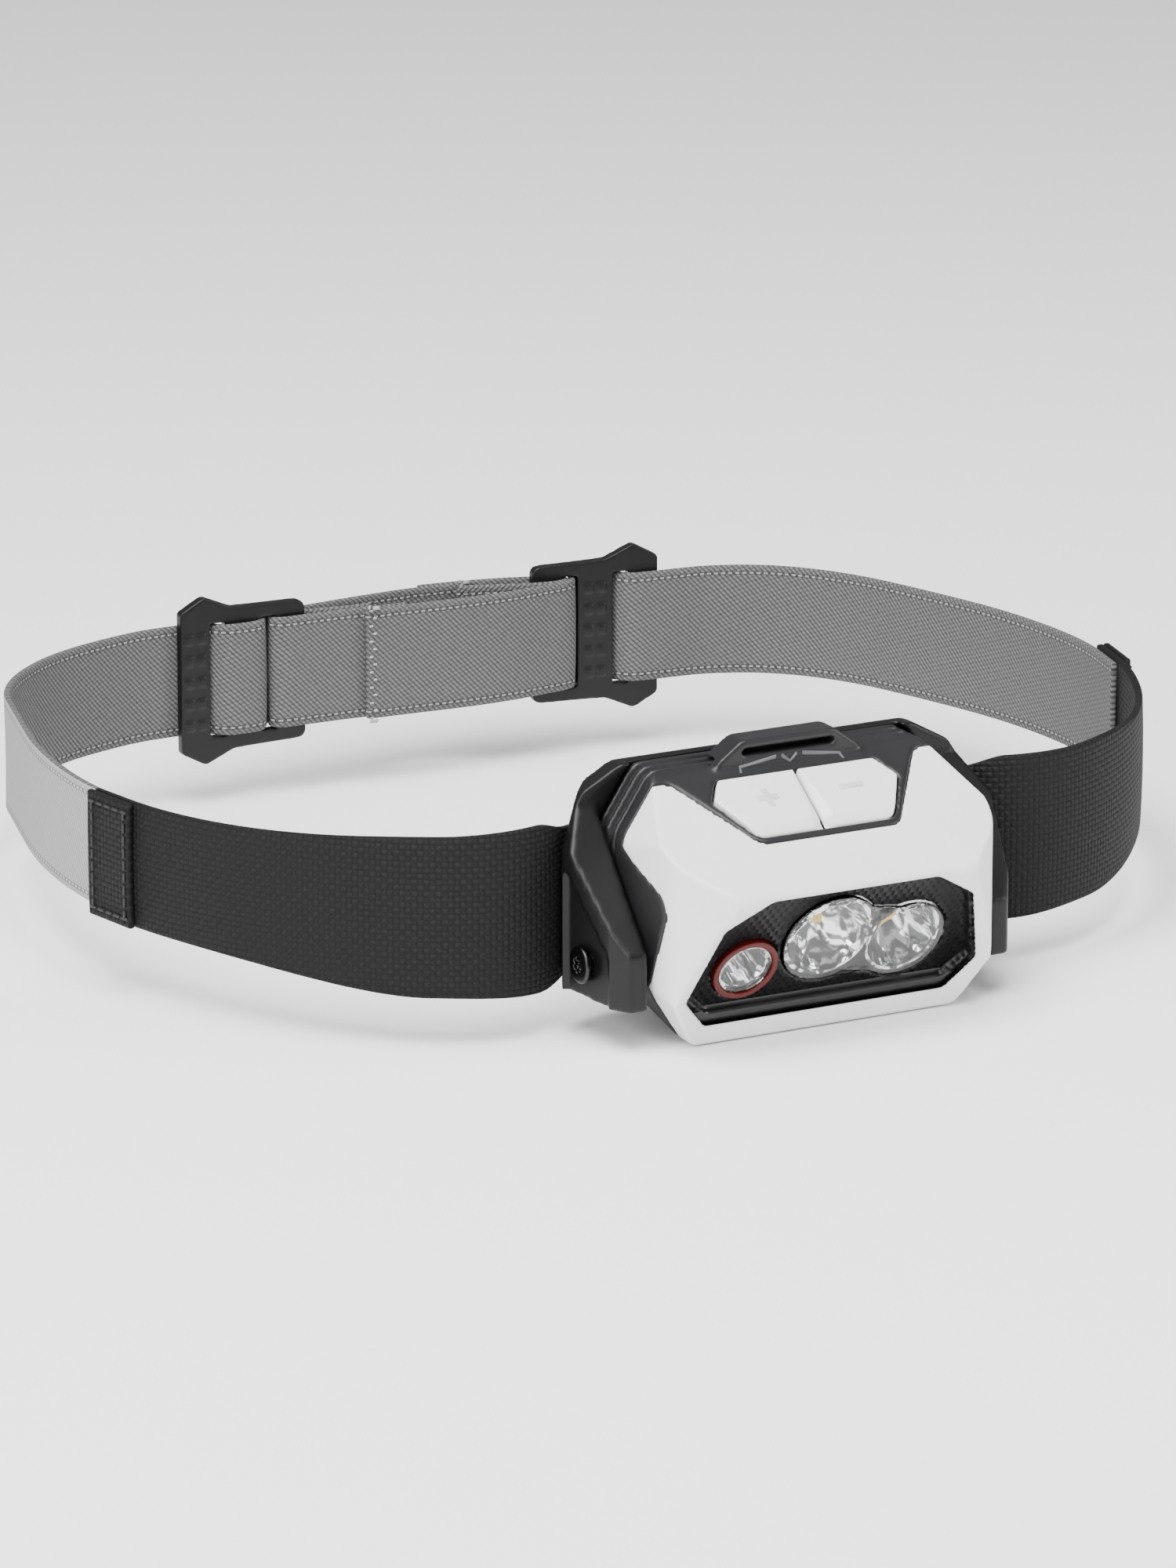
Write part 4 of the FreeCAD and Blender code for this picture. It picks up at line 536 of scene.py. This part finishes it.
def stitch_form(size):
    """One stitch, modelled once for its copies: a small bar with its ends rounded over."""
    bpy.ops.object.select_all(action="DESELECT")
    bpy.ops.mesh.primitive_cube_add(size=1)
    bar = bpy.context.object
    bar.data.transform(Matrix.Diagonal((*[value * MM for value in size], 1)))
    modify(bar, "BEVEL", width=0.14 * MM, segments=1)
    return bar


def stitch_at(form, centre, way):
    """A copy of a stitch at a point, turned along a direction."""
    mesh = form.data.copy()
    mesh.transform(Matrix.Translation(centre * MM) @ Matrix.Rotation(math.atan2(way.y, way.x), 4, "Z"))
    bar = bpy.data.objects.new("stitch", mesh)
    bpy.context.scene.collection.objects.link(bar)
    return bar


def sew(name, stitches, forms):
    """One object from its stitches; the stitches that they were copied from go."""
    for form in forms:
        bpy.data.objects.remove(form)
    bpy.ops.object.select_all(action="DESELECT")
    for stitch in stitches:
        stitch.select_set(True)
    bpy.context.view_layer.objects.active = stitches[0]
    bpy.ops.object.join()
    piece = bpy.context.object
    piece.name = name
    piece.data.name = name
    return piece


def make_elastics():
    """Each elastic threads its slider and crosses the back to a loop sewn on the other one's far bar."""
    inner, outer = FINISH["elastic_grey"], ELASTIC_OUTSIDE
    left = [along_run(*LEFT_SEAM, -SEAM_HALF)] + LEFT[6:] + [
        (-80.5, 51.0), (-66.0, 65.5), (-47.0, 72.3), (-38.0, 72.6), (-33.2, 72.6), (-31.2, 70.8), (-29.6, 68.9),
        (-26.0, 68.7), (-23.0, 68.9), (-21.7, 70.7), (-20.4, 73.3), (-16.0, 74.0), (-6.0, 75.2), (6.0, 76.2),
        (14.0, 76.0), (21.5, 75.2)]
    piece = strap("elastic_left_band", inside_webbing(left), band_edges, ELASTIC, step=1.0)
    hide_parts("elastic_left")
    dress(piece, inner, outer)
    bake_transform(piece)
    right = [(-3.4, 67.0), (6.0, 66.5), (16.0, 65.7), (26.0, 65.9), (32.0, 67.0), (36.4, 67.5), (38.6, 68.5),
             (39.1, 70.2), (40.0, 71.9), (43.2, 71.7), (46.6, 71.2), (47.9, 69.2), (49.4, 67.2), (52.3, 66.7),
             (57.0, 66.3), (64.5, 65.6), (75.0, 60.5), (84.0, 49.0)] + RIGHT[:5:-1] + \
            [along_run(*RIGHT_SEAM, -SEAM_HALF)]
    piece = strap("elastic_right_band", right[:-4] + inside_webbing(right[-4:]), band_edges, ELASTIC, step=1.0)
    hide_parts("elastic_right")
    dress(piece, inner, outer)
    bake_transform(piece)
    loop_on_left = [(-1.0, 70.6), (-8.0, 71.4), (-15.0, 72.6), (-19.3, 72.7), (-20.6, 70.8), (-19.4, 68.9),
                    (-14.0, 68.9), (-6.0, 68.7), (0.0, 68.2), (5.0, 67.9)]
    loop_on_right = [(12.0, 77.4), (20.0, 76.6), (28.0, 74.9), (34.0, 72.8), (37.2, 72.1), (37.8, 70.3),
                     (36.8, 68.7), (33.0, 68.8), (28.0, 70.4), (22.0, 72.6), (18.0, 74.0)]
    for label, points, body in (("left", loop_on_left, "slider_left_body"),
                                ("right", loop_on_right, "slider_right_body")):
        loop = strap(f"sewn_loop_{label}", points, band_edges, ELASTIC, step=0.8)
        place_piece(loop, body, "elastic_grey", inner, inner)
    bar_tack("bar_tack_inner", (-2.4, 66.25), (1.0, -0.05), "slider_right_body")
    bar_tack("bar_tack_outer", (19.6, 74.6), (1.0, -0.1), "slider_left_body")


def inside_webbing(points):
    """The elastic lies against the webbing's inner face where they overlap, far out at the side."""
    lap_from, lap_in = 85, 0.65  # mm
    moved = []
    for x, y in points:
        share = lap_in / math.hypot(x, y) if abs(x) > lap_from else 0.0
        moved.append((x - x * share, y - y * share))
    return moved


def bar_tack(name, centre, way, body):
    """A zigzag line of pale thread across the strap, with a loose knot of ends at each edge."""
    count, reach, lean_by = 15, 9.8, 0.35
    zigzag, loose_end = stitch_form((0.75, 0.3, 0.42)), stitch_form((1.1, 0.4, 0.6))
    way = Vector(way).normalized()
    threads = []
    for k in range(count):
        z = -reach + 2 * reach * k / (count - 1)
        lean = lean_by if k % 2 else -lean_by
        spot = Vector((centre[0] + way.x * lean, centre[1] + way.y * lean, z))
        threads.append(stitch_at(zigzag, spot, way))
    for k, (x, y, z) in enumerate([(0.4, -0.3, 10.3), (-0.6, 0.1, 10.5), (0.9, 0.2, 10.2), (-0.3, -0.2, -10.3),
                                   (0.6, 0.1, -10.4)]):
        spot = Vector((centre[0] + x, centre[1] + y, z))
        threads.append(stitch_at(loose_end, spot, Vector((math.cos(k), math.sin(k)))))
    place_piece(sew(name, threads, (zigzag, loose_end)), body, "elastic_grey", THREAD)


# ---------------------------------------------------------------- shells, keys and optics

# Frames in mm with z out of the keys' slope and out of the window.
KEY_ANGLE = math.atan2(SLOPE_CROWN[1] - SLOPE_LIP[1], SLOPE_CROWN[0] - SLOPE_LIP[0])
KEY_MIDDLE_Z = SLOPE_CROWN[1] - (SLOPE_CROWN[0] - KEY_MIDDLE_Y) * math.tan(KEY_ANGLE)
KEY_PLACE = Matrix.Translation((0, KEY_MIDDLE_Y, KEY_MIDDLE_Z)) @ Matrix.Rotation(KEY_ANGLE, 4, "X")
WINDOW_PLACE = Matrix.Translation(WINDOW_MIDDLE) @ Matrix.Rotation(WINDOW_ANGLE, 4, "X")
LENS_BACK = -2.4
MARK_RISE, MARK_ROOT, ABOVE_SLOPE = 0.16, 0.3, 6.0


def key_form(point):
    """Keys: crowned a little, with a groove between them that widens to the front, and a skirt that falls there."""
    face_from, lowest = -0.9, -1.2
    groove_depth, crown, key_half, skirt_from = 0.9, 0.25, 7, -4.6
    spot = KEY_PLACE.inverted() @ point
    if spot.z > face_from:
        groove_half = 0.5 + 0.13 * (6.0 - spot.y)
        spot.z -= groove_depth * max(0.0, 1 - abs(spot.x) / groove_half)
        spot.z += crown * max(0.0, 1 - (spot.y / key_half) ** 2)
        spot.z -= 0.45 * max(0.0, skirt_from - spot.y)
    spot.z = max(spot.z, lowest)
    return KEY_PLACE @ spot


def lens_form(point):
    """Twin lens: each lobe bulges a little."""
    return bulged(point, LOBES, 0.6)


def near_form(point):
    """Small lens: one low bulge."""
    return bulged(point, (NEAR_LENS,), 0.5)


def bulged(point, lobes, height):
    """Lifts the face ahead of a lens's back by a dome over each lobe."""
    spot = WINDOW_PLACE.inverted() @ point
    if spot.z > LENS_BACK:
        domes = [1 - ((spot.x - x) ** 2 + (spot.y - up) ** 2) / radius ** 2 for x, up, radius in lobes]
        spot.z += height * max(0.0, *domes)
    return WINDOW_PLACE @ spot


def raised_mark(name, outline, body, slot_name, material, under):
    """A low moulded mark on the keys' slope from its outline, in mm, seated on the piece under it."""
    level = []
    for x, y in outline:
        start = KEY_PLACE @ Vector((x, y, ABOVE_SLOPE))
        way = KEY_PLACE.to_3x3() @ Vector((0, 0, -1))
        spot = under.ray_cast(start * MM, way)[1]
        level.append((KEY_PLACE.inverted() @ (spot / MM)).z)
    bpy.ops.object.select_all(action="DESELECT")
    bpy.ops.mesh.primitive_circle_add(vertices=len(outline), radius=1, fill_type="NGON")
    mark = bpy.context.object
    mark.name = name
    for vertex, (x, y), z in zip(mark.data.vertices, outline, level):
        vertex.co = Vector((x, y, z - MARK_ROOT))
    bpy.ops.object.mode_set(mode="EDIT")
    bpy.ops.mesh.select_all(action="SELECT")
    bpy.ops.mesh.extrude_region_move(TRANSFORM_OT_translate={"value": (0, 0, MARK_ROOT + MARK_RISE)})
    bpy.ops.mesh.select_all(action="SELECT")
    bpy.ops.mesh.normals_make_consistent(inside=False)
    bpy.ops.object.mode_set(mode="OBJECT")
    mark.data.transform(Matrix.Scale(MM, 4) @ KEY_PLACE)
    modify(mark, "BEVEL", width=0.06 * MM, segments=2, limit_method="ANGLE")
    bpy.ops.object.shade_smooth_by_angle(angle=math.radians(40))
    return place_piece(mark, body, slot_name, material)


def make_marks(moulded_pieces):
    """Plus and minus on the keys, and a generic arrow with its lines ahead of the latch tab."""
    a, b = 0.55, 1.9
    plus = [(a, a), (a, b), (-a, b), (-a, a), (-b, a), (-b, -a), (-a, -a), (-a, -b), (a, -b), (a, -a), (b, -a),
            (b, a)]
    minus = [(b, 0.5), (-b, 0.5), (-b, -0.5), (b, -0.5)]
    raised_mark("plus_mark", [(x - 7.6, y + 0.6) for x, y in plus], "plus_key_body", "white_shell", SHADED_WHITE_MARK,
                moulded_pieces["plus_key"])
    raised_mark("minus_mark", [(x * 1.15 + 7.6, y + 0.6) for x, y in minus], "minus_key_body", "white_shell",
                SHADED_WHITE_MARK, moulded_pieces["minus_key"])
    lines = [[(-9.0, 7.9), (-2.4, 8.5), (-2.4, 8.85), (-9.3, 8.25), (-9.6, 6.9), (-9.25, 6.9)],
             [(9.0, 7.9), (9.25, 6.9), (9.6, 6.9), (9.3, 8.25), (2.4, 8.85), (2.4, 8.5)],
             [(0.0, 7.7), (1.5, 8.6), (1.3, 8.9), (0.0, 8.15), (-1.3, 8.9), (-1.5, 8.6)]]
    for k, outline in enumerate(lines):
        raised_mark(f"latch_line_{k}", outline, BODY["front_housing"], "dark_shell", HIGHLIGHT_GREY_MARK,
                    moulded_pieces["front_housing"])


def make_shells():
    """Voxel size in mm, smoothing passes and an extra form for each moulding."""
    recipes = {"bezel": (0.3, 5, None), "front_housing": (0.4, 4, None), "rear_case": (0.5, 3, None),
               "bracket": (0.46, 4, None), "lens_panel": (0.4, 2, None), "slider_left": (0.22, 2, None),
               "slider_right": (0.22, 2, None), "pivot_screws": (0.14, 2, None), "plus_key": (0.24, 4, key_form),
               "minus_key": (0.24, 4, key_form), "twin_lens": (0.26, 5, lens_form),
               "near_lens": (0.22, 4, near_form), "near_ring": (0.2, 4, None)}
    return {name: softened(name, *recipe) for name, recipe in recipes.items()}


def finish_the_rest():
    """Every CAD node that still shows gets its own finish."""
    for name, obj in frame["nodes"].items():
        dress(obj, *[FINISH[SLOT[name]]] * max(1, len(obj.data.materials)))


# ---------------------------------------------------------------- floor, light, camera

FLOOR_Z = -22.4  # mm, just under the lamp's chin
LIGHTS = (("top_box", (-0.25, -0.25, 0.95), 0.8, 26.0),  # place, size in metres, watts
          ("left_box", (-1.1, -0.7, 0.55), 0.6, 14.0),
          ("right_strip", (0.95, -0.8, 0.45), 0.4, 7.0))
CAMERA_TURN, CAMERA_LIFT = -27.85, 16.26  # degrees round from the front and up
CAMERA_LENS = 194.77  # mm, for a picture 36 mm high
CAMERA_BACK, CAMERA_RIGHT, CAMERA_DOWN = 1.43903, 0.00472, 0.00494  # metres


def make_stage():
    """A wide pale floor that the lamp's chin and sliders stand over, soft boxes, and the camera."""
    bpy.ops.object.select_all(action="DESELECT")
    bpy.ops.mesh.primitive_plane_add(size=8, location=(0, 0, FLOOR_Z * MM))
    floor = bpy.context.object
    floor.name = "floor"
    dress(floor, blank("matt_white_paper", "FFFFFF", 0.9)[0])
    world = bpy.data.worlds.new("studio")
    world.use_nodes = True
    background = world.node_tree.nodes["Background"]
    background.inputs["Color"].default_value = linear("FFFFFF")
    background.inputs["Strength"].default_value = 0.36
    bpy.context.scene.world = world
    target = Vector((0.0, -0.03, 0.0))
    for name, spot, size, power in LIGHTS:
        light = bpy.data.lights.new(name, "AREA")
        light.shape = "SQUARE"
        light.size = size
        light.energy = power
        lamp = bpy.data.objects.new(name, light)
        lamp.location = spot
        lamp.rotation_euler = (target - Vector(spot)).to_track_quat("-Z", "Y").to_euler()
        bpy.context.scene.collection.objects.link(lamp)
    turn, lift = math.radians(CAMERA_TURN), math.radians(CAMERA_LIFT)
    back = Vector((math.sin(turn) * math.cos(lift), -math.cos(turn) * math.cos(lift), math.sin(lift)))
    right = Vector((math.cos(turn), math.sin(turn), 0))
    up = back.cross(right)
    lens = bpy.data.cameras.new("camera")
    lens.sensor_fit = "VERTICAL"
    lens.sensor_height = 36
    lens.lens = CAMERA_LENS
    lens.clip_start = 0.05
    camera = bpy.data.objects.new("camera", lens)
    place = back * CAMERA_BACK + right * CAMERA_RIGHT - up * CAMERA_DOWN
    camera.matrix_world = Matrix.Translation(place) @ Matrix((right, up, back)).transposed().to_4x4()
    bpy.context.scene.collection.objects.link(camera)
    bpy.context.scene.camera = camera


make_stage()
make_webbing()
make_elastics()
make_marks(make_shells())
finish_the_rest()
